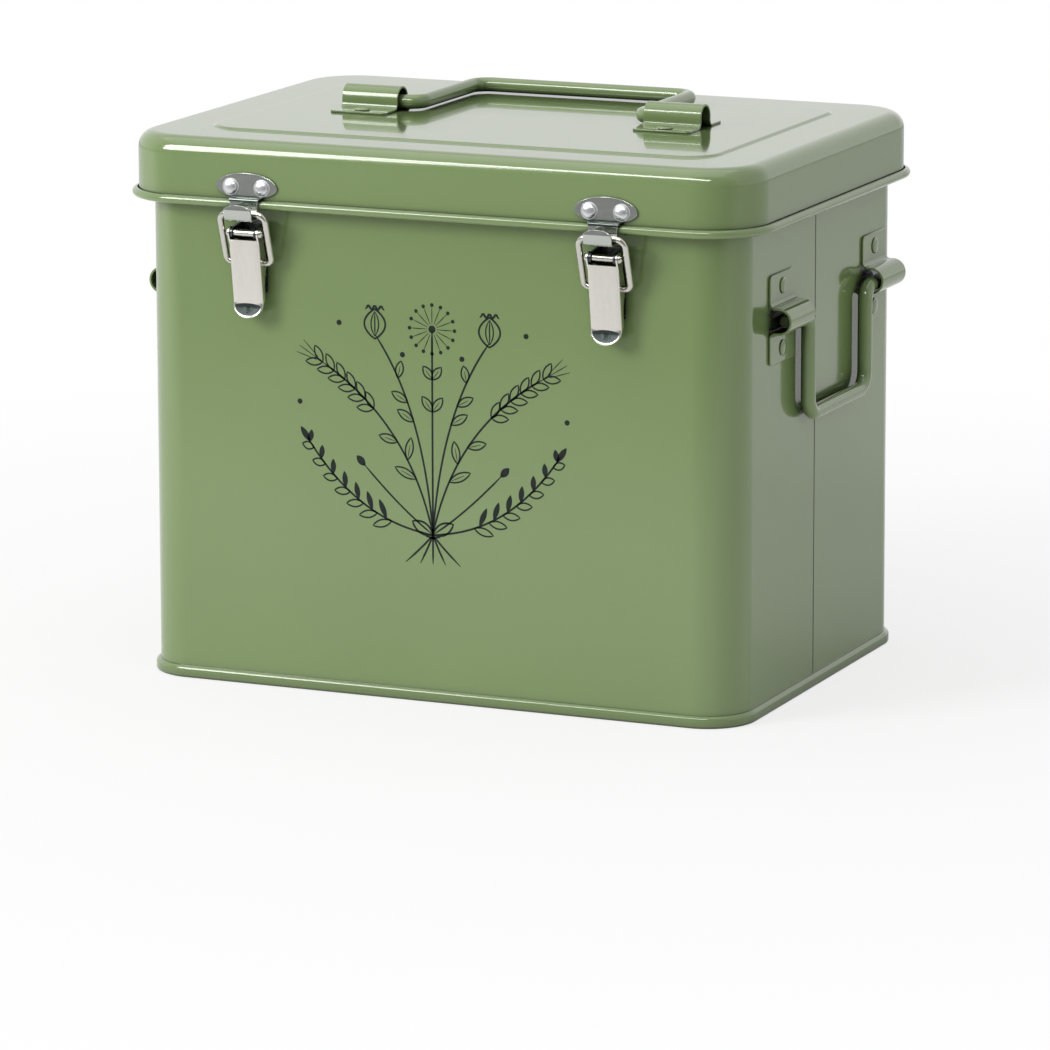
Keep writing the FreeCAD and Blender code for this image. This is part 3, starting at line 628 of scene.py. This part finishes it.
def rivet_shape(diameter, dome, collar):
    """A quarter ellipse on a short upright edge, with a chamfered collar or an undercut below it."""
    radius = diameter / 2
    undercut, collar_width = 0.45, 0.7
    foot = [(radius - undercut, 0.0), (radius - undercut + 0.05, 0.12), (radius, 0.25 * dome)]
    if collar:
        foot = [(radius + collar_width, 0.0), (radius + collar_width - 0.15, 0.22), (radius, 0.3)]
    angle = np.radians(np.arange(9, 73, 9))
    crown = at_angle(angle, radius, 0.7 * dome) + (0, 0.3 * dome)
    return lathed(np.concatenate([[(pole, 0.0)], foot, crown, [(pole, dome)]]), 28)


def head_centres(node):
    """Middle of each separate solid of a node, in millimetres, found by walking along its edges."""
    work = bmesh.new()
    work.from_mesh(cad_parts[node].data)
    bmesh.ops.remove_doubles(work, verts=work.verts, dist=1e-6)
    centres, seen = [], set()
    for seed in work.verts:
        if seed in seen:
            continue
        group, edge = [], [seed]
        seen.add(seed)
        while edge:
            vertex = edge.pop()
            group.append(vertex.co[:])
            beyond = {link.other_vert(vertex) for link in vertex.link_edges} - seen
            seen |= beyond
            edge.extend(beyond)
        group = np.array(group) * 1000
        centres.append((group.min(axis=0) + group.max(axis=0)) / 2)
    work.free()
    return centres


def add_rivets(node, body, left_side, right_side, head, material, slot):
    """All the heads of a node as one piece; those with x > 0 face right_side, the others left_side."""
    heads = []
    for centre in head_centres(node):
        axes = facing[right_side if centre[0] > 0 else left_side]
        heads.append(placed(rivet_shape(*head), centre - np.array(axes[0]) * head[1] / 2, *axes))
    add_piece(node + "_heads", join(*heads), material, body, slot, [node])


add_rivets("side_clip_rivets", "case", "left", "right", low_head, enamel, "green_enamel")
add_rivets("top_clip_rivets", "lid", "top", "top", low_head, enamel, "green_enamel")
add_rivets("hinge_case_rivets", "case", "back", "back", low_head, enamel, "green_enamel")
add_rivets("hinge_lid_rivets", "lid", "back", "back", low_head, enamel, "green_enamel")
add_rivets("latch_base_rivets", "case", "front", "front", low_head, nickel, "nickel_plate")
add_rivets("keeper_rivets", "lid", "front", "front", bright_head, rivet_nickel, "nickel_plate")

# ---- Keepers ----
# Pressed from 1 mm strip and plated: an oval plate riveted to the lid, a neck that steps out over
# the rim, and a hook turned up round the loop's bar.
rim_gap = 0.1
plate_rise = 6.4
plate_drop = 5.0
plate_half_width = 14.5
neck_half = 6.5
neck_fillet = 2.2
fillet_reach = 0.8
fillet_start = 4.0
lip = 4.0
lip_crown = 2.8
lip_lean = 1.0
lean_rise = 0.6
step_bend = 0.6
step_shade_half = 1.1
hook_bend = 1.9
keeper_low, keeper_high = node_box("latch_keeper_left")
neck_inner = lid_overhang + (lid_rim - sheet) + rim_gap
neck = neck_inner + strap / 2
band = -keeper_low[1] - wall_y - strap / 2
hook_floor = keeper_low[2] + strap / 2
keeper_face = lid_overhang + strap / 2
plate_z = keeper_high[2] - plate_rise
step_z = rim_z + lid_rim + rim_gap + strap / 2
latch_x = {hand: sum(node_box("latch_keeper_" + hand))[0] / 2 for hand in ("left", "right")}


def step_shade(tree, place):
    """Painted shade where the step over the rim lies in the rim's shade: a band of even height about it."""
    axis = add_node(tree, "ShaderNodeSeparateXYZ", {0: place})
    on_step = add_node(tree, "ShaderNodeMath", {
        0: axis.outputs["Z"], 1: step_z * 0.001, 2: step_shade_half * 0.001,
    }, operation="COMPARE")
    return on_step, "#5E6560", 0.0


# Painted shade: the keeper's plate is tinted darker and greener than the other plate, and its step is
# painted darker still.
keeper_nickel = make_nickel("nickel_plate_painted_shade", "#C6CAC4", 0.12, 0.24, (0.2, 1.0, 1.0), step_shade)


def keeper_half_width(from_start, from_end, height):
    """Half an ellipse above the rivets and a flatter half below them, which runs into the neck by a
    fillet that fades exponentially; the lip ends in a quarter ellipse. No end is quite a point."""
    above = height - plate_z
    reach = np.where(above > 0, plate_rise, plate_drop)
    plate = plate_half_width * np.sqrt(np.maximum(0, 1 - (above / reach) ** 2) + 0.0004)
    below = np.maximum(0, -above - fillet_start)
    into_neck = np.where(above > 0, 0, neck_half + neck_fillet * np.exp(-below / fillet_reach))
    crown = np.maximum(0, 1 - from_end / lip_crown)
    lip_half = neck_half * np.sqrt(1 - crown ** 2 + 0.002)
    return np.where(crown > 0, lip_half, np.maximum(plate, into_neck))


keeper_shape = strip([
    (keeper_face, plate_z + plate_rise), (keeper_face, step_z), (neck, step_z), (neck, hook_floor),
    (band - lip_lean, hook_floor), (band, hook_floor + lip + lean_rise),
    (band, hook_floor + lip + lip_crown),
], [step_bend, step_bend, hook_bend, hook_bend, step_bend], strap, keeper_half_width, 0.25, 8)


def add_to_latches(kind, shape, material, body, **edges):
    """A piece of both latches on the case's front. Without a body it rides on its own hand's."""
    for hand, x in latch_x.items():
        add_piece(
            kind + hand, placed(shape, (x, -wall_y, 0), *facing["front"]),
            material, body or kind + hand, "nickel_plate", ["latch_" + kind + hand], **edges,
        )


add_to_latches("keeper_", keeper_shape, keeper_nickel, "lid", bevel=0.18)

# ---- Latch loops ----
# A loop of bright 2.8 mm wire: its bar crosses behind the keeper's hook, and its two ends turn in
# through the lever's lugs at link. The lever turns about pivot. Both are (out from the wall, z).
loop_wire = 2.8
loop_half = 10.7
loop_corner = 4.0
loop_end_bend = 2.6
loop_end = 2.4
link_in = 4.5
link_down = 13.5
pivot_out = 9.8
pivot_below_rim = 10.5
bar_gap = 0.3
hook_floor_below_rim = 3.65
bar_lift = 0.6
pivot = np.array([pivot_out, rim_z - pivot_below_rim])
link = pivot - (link_in, link_down)
bar = np.array([neck_inner + strap + bar_gap, rim_z - hook_floor_below_rim + bar_lift]) + loop_wire / 2
legs = np.linalg.norm(bar - link)
legs_x, legs_z = (bar - link) / legs
tip = loop_half - loop_end_bend - loop_end
loop_shape = wire(
    [(-tip, 0), (-loop_half, 0), (-loop_half, legs), (loop_half, legs), (loop_half, 0), (tip, 0)],
    [loop_end_bend, loop_corner, loop_corner, loop_end_bend], loop_wire, 20, 12,
)
loop_shape = placed(loop_shape, (link[0], 0, link[1]), (legs_z, 0, -legs_x), (0, 1, 0), (legs_x, 0, legs_z))
bright_nickel = make_nickel("nickel_wire", "#D8D5CE", 0.08, 0.2, even_grain)
add_to_latches("loop_", loop_shape, bright_nickel, None)

# ---- Levers ----
# Folded from 0.8 mm strip to a channel: cheeks that reach round the pin and the loop's ends, a plain
# bright face, and a flared, dished thumb tip. It leans with its foot towards the wall.
lever_tilt = math.radians(8.0)
lever_half = 7.2
lever_gauge = 0.8
lever_face = 1.9
lever_start = 2.8
lever_end = 31.2
lever_tip = 6.0
lever_flare = math.tan(math.radians(24))
lever_edge = 1.0
tip_power = 2.4
tip_dish = 1.3
tip_fold = 0.92
tip_arch = 1.1
lug = 2.3
flange = 3.2
ear_radius = 2.6
ear_foot = 5.0
link_s = link_in * math.sin(lever_tilt) + link_down * math.cos(lever_tilt)
link_n = link_down * math.sin(lever_tilt) - link_in * math.cos(lever_tilt)
tip_z = pivot[1] - lever_face * math.sin(lever_tilt) - lever_end * math.cos(lever_tilt)


def tip_shade(tree, place):
    """Painted shade in the dish of the thumb tip, below a line that arches across it and inside its bright
    edge.
    """
    axis = add_node(tree, "ShaderNodeSeparateXYZ", {0: place})
    off_middle = add_node(tree, "ShaderNodeMath", {0: axis.outputs["X"]}, operation="ABSOLUTE")
    aside = add_node(tree, "ShaderNodeMath", {
        0: off_middle, 1: latch_x["right"] * 0.001,
    }, operation="SUBTRACT")
    across = add_node(tree, "ShaderNodeMath", {0: aside, 1: lever_half * 0.001}, operation="DIVIDE")
    square = add_node(tree, "ShaderNodeMath", {0: across, 1: 2.0}, operation="POWER")
    arch = add_node(tree, "ShaderNodeMath", {
        0: square, 1: -tip_arch * 0.001, 2: tip_z * 0.001,
    }, operation="MULTIPLY_ADD")
    below = add_node(tree, "ShaderNodeMath", {0: arch, 1: axis.outputs["Z"]}, operation="SUBTRACT")
    in_tip = add_node(tree, "ShaderNodeMapRange", {
        "Value": below, "From Min": -0.0001, "From Max": 0.0001,
    })
    down = add_node(tree, "ShaderNodeMapRange", {
        "Value": axis.outputs["Z"], "From Min": tip_z * 0.001, "From Max": (tip_z - lever_tip) * 0.001,
    })
    bulge = add_node(tree, "ShaderNodeMath", {0: down, 1: tip_power}, operation="POWER")
    reach = add_node(tree, "ShaderNodeMath", {0: square, 1: bulge}, operation="ADD")
    inside = add_node(tree, "ShaderNodeMapRange", {"Value": reach, "From Min": 0.86, "From Max": 0.74})
    dished = add_node(tree, "ShaderNodeMath", {0: in_tip, 1: inside}, operation="MULTIPLY")
    return dished, "#434A48", 0.3


lever_nickel = make_nickel("nickel_lever", "#E6E3DB", 0.18, 0.28, upright_grain, tip_shade)


def channel(s, half, face, back, dish, edge):
    """Rows across the lever at distances s below the pivot, in (out, across, up): the outer skin from
    cheek to cheek with rounded edges and a parabolic dish, and the inner skin back, one gauge inside."""
    rows = np.broadcast_arrays(s, half, face, back, dish, edge)
    s, half, face, back, dish, edge = np.stack(rows)[:, :, None]
    angle = np.linspace(0, math.pi / 2, 6)
    flat = np.array([-0.7, -0.45, -0.2])
    out = np.hstack([back, face - edge * (1 - np.sin(angle)), np.repeat(face, len(flat), axis=1)])
    across = np.hstack([-half, edge * (1 - np.cos(angle)) - half, flat * (half - edge)])
    out, across = np.hstack([out, out[:, ::-1]]), np.hstack([across, -across[:, ::-1]])
    out = out - dish * (1 - (across / half) ** 2)
    inner_out = np.where(out > back + 0.01, out - lever_gauge, out)
    inner_across = across * np.where(half > lever_gauge, (half - lever_gauge) / half, 0.3)
    out, across = np.hstack([out, inner_out[:, ::-1]]), np.hstack([across, inner_across[:, ::-1]])
    return np.stack([out, across, np.broadcast_to(-s, out.shape)], axis=-1)


# Stations down the lever and how far back its cheeks reach there: from the ears to the lugs round
# the loop's ends, and on to flanges that run out.
cheek_line = np.array([
    (lever_start, -2.4), (link_s, link_n - lug), (link_s + 1.6, link_n - 1.6),
    (1.6 * link_s, lever_face - flange), (lever_end - 0.5, lever_face - 2.6),
    (lever_end, lever_face - 1.0),
])
blade_s = np.linspace(lever_start, lever_end, 40)
cheeks = np.interp(blade_s, *cheek_line.T)
blade = channel(blade_s, lever_half, lever_face, cheeks, 0.0, lever_edge)

# The tip narrows as a flattened ellipse while it flares outwards.
tip_t = np.linspace(0.05, 0.995, 22)
tip_half = lever_half * np.sqrt(1 - tip_t ** tip_power)
tip_face = lever_face + lever_tip * tip_t * lever_flare
thumb_tip = channel(
    lever_end + lever_tip * tip_t, tip_half, tip_face, tip_face - tip_fold,
    tip_dish * np.minimum(1, tip_t * 3) * tip_half / lever_half, np.minimum(lever_edge, tip_half * 0.3),
)
ear_angle = np.radians(np.arange(-20, 201, 10))
ear_outline = np.concatenate([
    at_angle(ear_angle, ear_radius, ear_radius), [(-3.4, -ear_foot), (1.2, -ear_foot)],
])


def ear(low, high):
    """The flat ear round the pin, from y = low to y = high."""
    return skin([np.insert(ear_outline, 1, y, axis=1) for y in (low, high)])


ear_outer, ear_inner = lever_half - 0.02, lever_half - lever_gauge + 0.02
lever_shape = join(
    skin(np.concatenate([blade, thumb_tip])), ear(-ear_outer, -ear_inner), ear(ear_inner, ear_outer),
)
lean_out = (math.cos(lever_tilt), 0, -math.sin(lever_tilt))
lean_up = (math.sin(lever_tilt), 0, math.cos(lever_tilt))
lever_shape = placed(lever_shape, (pivot[0], 0, pivot[1]), lean_out, (0, 1, 0), lean_up)
add_to_latches("lever_", lever_shape, lever_nickel, None, sharp=40, bevel=0.08)

# ---- Latch pins ----
# Turned steel pins through the ears of base and lever, with a domed head outside each ear.
pin_radius = 1.5
head_radius = 2.1
head_start = 7.25
head_dome = 1.75
head_angle = np.radians(np.arange(0, 81, 16))
pin_end = np.concatenate([
    [(pin_radius, head_start)],
    at_angle(head_angle, head_radius, head_dome) + (0, head_start),
    [(pole, head_start + head_dome)],
])
pin_shape = lathed(np.concatenate([pin_end[::-1] * (1, -1), pin_end]), 24)
pin_shape = placed(pin_shape, (pivot[0], 0, pivot[1]), (0, 1, 0), (1, 0, 0), (0, 0, 1))
add_to_latches("pin_", pin_shape, bright_nickel, "case")

# ---- Latch bases and hinges ----
# Bent straps and pins whose solids are shown as they are: the latch bases plated, with painted shade for the
# lever's shadow always on them, the hinge leaves enamelled. Welding and softening the edges shades them as
# bent metal.
dark_nickel = make_nickel("nickel_in_shade", "#55585A", 0.2, 0.35, even_grain)
smooth_tree = bpy.data.node_groups.new("weld_and_smooth", "GeometryNodeTree")
smooth_tree.interface.new_socket("Geometry", in_out="INPUT", socket_type="NodeSocketGeometry")
smooth_tree.interface.new_socket("Geometry", in_out="OUTPUT", socket_type="NodeSocketGeometry")
came_in = add_node(smooth_tree, "NodeGroupInput")
weld = add_node(smooth_tree, "GeometryNodeMergeByDistance", {"Geometry": came_in, "Distance": 1e-6})
all_smooth = add_node(smooth_tree, "GeometryNodeSetShadeSmooth", {"Geometry": weld}, domain="FACE")
edge_angle = add_node(smooth_tree, "GeometryNodeInputMeshEdgeAngle")
is_sharp = add_node(smooth_tree, "FunctionNodeCompare", {
    0: edge_angle.outputs["Unsigned Angle"], 1: math.radians(crease),
}, data_type="FLOAT", operation="GREATER_THAN")
kept_sharp = add_node(smooth_tree, "GeometryNodeSetShadeSmooth", {
    "Geometry": all_smooth, "Selection": is_sharp, "Shade Smooth": False,
}, domain="EDGE")
add_node(smooth_tree, "NodeGroupOutput", {0: kept_sharp})
finishes = {
    "latch_base_": dark_nickel, "hinge_case_leaf_": enamel, "hinge_lid_leaf_": enamel, "hinge_pin_": nickel,
}
for kind, material in finishes.items():
    for hand in ("left", "right"):
        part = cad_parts[kind + hand]
        part.data.materials.clear()
        part.data.materials.append(material)
        part.modifiers.new("weld_and_smooth", "NODES").node_group = smooth_tree

# ---- Printed spray ----
# Line art screen-printed on the front in near-black ink, matter than the enamel: five seed heads that
# rise from one tied bunch, and two low sprigs. Points are (x, z) in millimetres on the front face.
ink_mottle = 1.25
ink = make_mottled("printed_ink", "#0F1815", "#1A2520", ink_mottle, 0.3)
ink_out = 0.03
line = 0.9
root = np.array([0.0, 74.0])


def filled(outline):
    """A solid patch inside an outline."""
    return np.insert(outline, 1, 0.0, axis=1), [list(range(len(outline)))]


def ribbon(points, width, closed=False):
    """A line of even width: each point is moved half the width to both sides, square to the way from
    the point before it to the point after it. Open ends taper."""
    points = np.array(points, float)
    index = np.arange(len(points))
    if closed:
        heading = np.roll(points, -1, axis=0) - np.roll(points, 1, axis=0)
        taper = np.ones(len(points))
    else:
        heading = points[np.minimum(index + 1, index[-1])] - points[np.maximum(index - 1, 0)]
        taper = np.minimum(1.0, 0.35 + 0.35 * np.minimum(index, index[::-1]))
    aside = heading @ np.array([[0, 1], [-1, 0]]) / np.linalg.norm(heading, axis=1, keepdims=True)
    aside *= width / 2 * taper[:, None]
    here = index if closed else index[:-1]
    after = (here + 1) % len(points)
    faces = np.stack([here, after, len(points) + after, len(points) + here], axis=-1).tolist()
    return np.insert(np.concatenate([points + aside, points - aside]), 1, 0.0, axis=1), faces


def curve(begin, middle, end, steps):
    """Quadratic curve from begin to end, drawn towards middle."""
    t = np.arange(steps + 1)[:, None] / steps
    return (1 - t) ** 2 * begin + 2 * t * (1 - t) * np.array(middle) + t ** 2 * np.array(end)


def petal(foot, angle, length, width, steps=9):
    """Closed pointed oval that grows from foot at an angle: half its width follows a softened sine."""
    along = at_angle(angle)
    across = np.array([-along[1], along[0]])
    t = np.arange(steps + 1)[:, None] / steps
    middle, half = foot + along * length * t, across * width / 2 * np.sin(math.pi * t).clip(0) ** 0.8
    return np.concatenate([middle + half, (middle - half)[-2:0:-1]])


def dot(centre, radius):
    """A round patch of eighteen sides."""
    return filled(centre + at_angle(math.pi / 9 * np.arange(18), radius, radius))


def angle_of(step):
    """The angle of a step's direction."""
    return math.atan2(step[1], step[0])


def wheat_ear(tip, heading, stem):
    """Pairs of grains, 8 by 3.2 mm, up the last stretch of the stem, and a few awns."""
    grains = [
        ribbon(petal(place, heading + turn, 8.0, 3.2), line * 0.8, True)
        for place in stem[:-12:-2] for turn in (-0.55, 0.55)
    ]
    awns = [
        ribbon(tip + np.outer([3, 9, 13], at_angle(heading + turn)), line * 0.7)
        for turn in (-0.25, 0.0, 0.25)
    ]
    return grains + awns


def poppy_pod(tip, heading, stem):
    """A ribbed capsule, 13 mm high and 10 wide, with a flat crown that waves as a cosine."""
    capsule = [ribbon(petal(tip - (0, 2.0), math.pi / 2, 13.0, 10.0, 12), line, True)]
    ribs = [
        ribbon(curve(tip - (0, 1.0), tip + (bow, 4.5), tip + (0, 10.0), 8), line * 0.7)
        for bow in (-3.6, 0.0, 3.6)
    ]
    x = np.linspace(-4.6, 4.6, 16)
    crown = ribbon(tip + np.stack([x, 11.6 + 0.9 * np.cos(x * 2.1)], axis=-1), line * 1.2)
    return capsule + ribs + [crown]


def dandelion_clock(tip, heading, stem):
    """Spokes round a core, that end in dots."""
    count, core, reach, end = 16, 1.7, 10.6, 0.85
    rays = [at_angle(2 * math.pi * spoke / count) for spoke in range(count)]
    spokes = [ribbon(tip + np.outer([2.4, 6.5, 9.8], ray), line * 0.7) for ray in rays]
    return [dot(tip, core)] + spokes + [dot(tip + ray * reach, end) for ray in rays]


# Each stem has a head, a tip, a bow to one side, leaves as (share of the stem, turn, length), and the
# way in which its leaves' turns are taken.
stem_steps = 30
outer_leaves = ((0.28, 0.7, 11.0), (0.38, -0.7, 10.0), (0.48, 0.7, 9.0))
inner_leaves = ((0.5, 0.7, 9.0), (0.62, 0.7, 8.5), (0.74, -0.65, 7.5))
middle_leaves = ((0.56, 0.65, 8.0), (0.56, -0.65, 8.0), (0.7, 0.65, 7.0), (0.7, -0.65, 7.0))
stems = (
    (wheat_ear, (-52, 146), -30, outer_leaves, 1), (poppy_pod, (-27, 160), -12, inner_leaves, 1),
    (dandelion_clock, (0, 164), 0, middle_leaves, 1), (poppy_pod, (27, 160), 12, inner_leaves, -1),
    (wheat_ear, (52, 146), 30, outer_leaves, -1),
)
art = []
for seed_head, tip, bow, leaves, way in stems:
    tip = np.array(tip, float)
    stem = curve(root, (bow * 0.35, 0.5 * (root[1] + tip[1]) + 12), tip, stem_steps)
    art.append(ribbon(stem, line))
    art += seed_head(tip, angle_of(stem[-1] - stem[-3]), stem)
    for share, turn, length in leaves:
        place, after = stem[int(share * stem_steps):][:2]
        heading = angle_of(after - place) + way * turn
        art.append(ribbon(petal(place, heading, length, 3.6), line * 0.8, True))
        art.append(ribbon(place + length * np.outer([0.1, 0.4, 0.7], at_angle(heading)), line * 0.6))
for side in (-1, 1):
    # A leafy sprig that sweeps out low, solid leaves above its stem and open ones below, and a bud.
    sprig = curve(root, (side * 36, 77), (side * 60, 113), 28)
    art.append(ribbon(sprig, line))
    for index in range(9, 28, 3):
        heading = angle_of(sprig[index + 1] - sprig[index])
        length = 11.0 - 0.2 * index
        art.append(filled(petal(sprig[index], heading + side * 0.75, length, 2.6)))
        art.append(ribbon(petal(sprig[index - 1], heading - side * 0.7, length, 3.2), line * 0.8, True))
    art.append(filled(petal(sprig[-2], heading, 8.0, 2.8)))
    shoot = curve(root, (side * 15, 84), (side * 33, 103), 16)
    art.append(ribbon(shoot, line * 0.9))
    heading = angle_of(shoot[-1] - shoot[-3])
    art.append(filled(petal(shoot[-1] - 0.5 * (shoot[-1] - shoot[-2]), heading, 6.0, 3.4)))
for tail in (-13, -6, 0, 6, 13):
    art.append(ribbon(curve(root, root + (tail * 0.3, -5), root + (tail, -13), 8), line))
for turn in (0.5, math.pi - 0.5):
    art.append(ribbon(petal(root, turn, 11.0, 5.0), line, True))
art.append(ribbon(root + [(-3.5, -0.8), (0, -1.6), (3.5, -0.8)], line * 1.6))
seeds = ((-44, 164), (44, 164), (-63, 128), (63, 128), (-14, 152), (14, 152))
art += [dot(np.array(seed), 1.2) for seed in seeds]
art_vertices, art_faces = join(*art)
art_mesh = bpy.data.meshes.new("printed_spray")
art_mesh.from_pydata(((art_vertices - (0, wall_y + ink_out, 0)) * 0.001).tolist(), [], art_faces)
work = bmesh.new()
work.from_mesh(art_mesh)
work.normal_update()
bmesh.ops.reverse_faces(work, faces=[face for face in work.faces if face.normal.y > 0])
work.to_mesh(art_mesh)
work.free()
art_mesh.materials.append(ink)
printed = bpy.data.objects.new("printed_spray", art_mesh)
collection.objects.link(printed)
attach(printed, "case")

# ---- Floor and light ----
# A plain pale floor, a broad soft light overhead, a smaller one to the front left, and a long strip
# that only draws gleams along the edges; the room is white behind and dim in front.
floor_mesh = bpy.data.meshes.new("floor")
floor_mesh.from_pydata([(-6, -6, 0), (6, -6, 0), (6, 6, 0), (-6, 6, 0)], [], [(0, 1, 2, 3)])
floor = bpy.data.objects.new("floor", floor_mesh)
collection.objects.link(floor)
floor_material, floor_tree = new_material("pale_floor")
floor_place = add_node(floor_tree, "ShaderNodeTexCoord").outputs["Object"]
floor_ray = add_node(floor_tree, "ShaderNodeLightPath")

# In reflections it grows dim towards the front, as the room does.
floor_axis = add_node(floor_tree, "ShaderNodeSeparateXYZ", {0: floor_place})
floor_front = add_node(floor_tree, "ShaderNodeMapRange", {
    "Value": floor_axis.outputs["Y"], "From Min": -0.45, "From Max": -0.95,
})
floor_dim = add_node(floor_tree, "ShaderNodeMath", {
    0: floor_ray.outputs["Is Glossy Ray"], 1: floor_front,
}, operation="MULTIPLY")
floor_colour = add_node(floor_tree, "ShaderNodeMix", {
    "Factor": floor_dim, 6: linear("#F7F7F7"), 7: linear("#8C8C8C"),
}, data_type="RGBA")
floor_paint = add_node(floor_tree, "ShaderNodeBsdfDiffuse", {"Color": floor_colour.outputs[2]})

# Seen directly it fades to white away from the object, and keeps the object's shadow near it.
floor_reach = add_node(floor_tree, "ShaderNodeVectorMath", {0: floor_place}, operation="LENGTH")
floor_fade = add_node(floor_tree, "ShaderNodeMapRange", {
    "Value": floor_reach.outputs["Value"], "From Min": 0.2, "From Max": 0.7, "To Min": 0.76, "To Max": 1.0,
})
floor_seen = add_node(floor_tree, "ShaderNodeMath", {
    0: floor_ray.outputs["Is Camera Ray"], 1: floor_fade,
}, operation="MULTIPLY")
floor_white = add_node(floor_tree, "ShaderNodeEmission", {"Color": (1.0, 1.0, 1.0, 1.0)})
floor_shader = add_node(floor_tree, "ShaderNodeMixShader", {
    0: floor_seen, 1: floor_paint, 2: floor_white,
})
add_node(floor_tree, "ShaderNodeOutputMaterial", {"Surface": floor_shader})
floor_mesh.materials.append(floor_material)

world = bpy.data.worlds.new("white_surround")
scene.world = world
world.use_nodes = True
room_tree = world.node_tree
room_tree.nodes.clear()
room_ray = add_node(room_tree, "ShaderNodeLightPath")
room_place = add_node(room_tree, "ShaderNodeTexCoord").outputs["Generated"]
room_axis = add_node(room_tree, "ShaderNodeSeparateXYZ", {0: room_place})
room = add_node(room_tree, "ShaderNodeMapRange", {
    "Value": room_axis.outputs["Y"], "From Min": -0.6, "From Max": -0.15, "To Min": 0.25, "To Max": 0.85,
})
mirrored = add_node(room_tree, "ShaderNodeMix", {
    "Factor": room_ray.outputs["Is Glossy Ray"], 2: 0.45, 3: room,
}, data_type="FLOAT")
seen = add_node(room_tree, "ShaderNodeMix", {
    "Factor": room_ray.outputs["Is Camera Ray"], 2: mirrored, 3: 1.0,
}, data_type="FLOAT")
surround = add_node(room_tree, "ShaderNodeBackground", {"Color": (1.0, 1.0, 1.0, 1.0), "Strength": seen})
add_node(room_tree, "ShaderNodeOutputWorld", {"Surface": surround})


def area_light(name, place, target, width, height, watts, gleam_only=False):
    """A soft rectangular lamp that points at a target; gleam_only lights no matt surface."""
    data = bpy.data.lights.new(name, "AREA")
    data.shape = "RECTANGLE"
    data.size = width
    data.size_y = height
    data.energy = watts
    light = bpy.data.objects.new(name, data)
    collection.objects.link(light)
    light.visible_diffuse = not gleam_only
    away = np.subtract(place, target) / math.dist(place, target)
    aside = np.cross((0, 0, 1), away)
    aside /= np.linalg.norm(aside)
    light.matrix_world = turned_to(aside, np.cross(away, aside), away, place)


area_light("overhead", (-0.3, -0.1, 2.2), (0, 0, 0.1), 2.4, 2.4, 12.0)
area_light("long_strip", (-0.3, -1.6, 1.68), (0, 0, 0.24), 2.4, 0.32, 29.0, gleam_only=True)
area_light("front_left", (-1.8, -2.2, 1.5), (0, 0, 0.12), 1.2, 1.2, 53.5)

scene.view_settings.view_transform = "Standard"
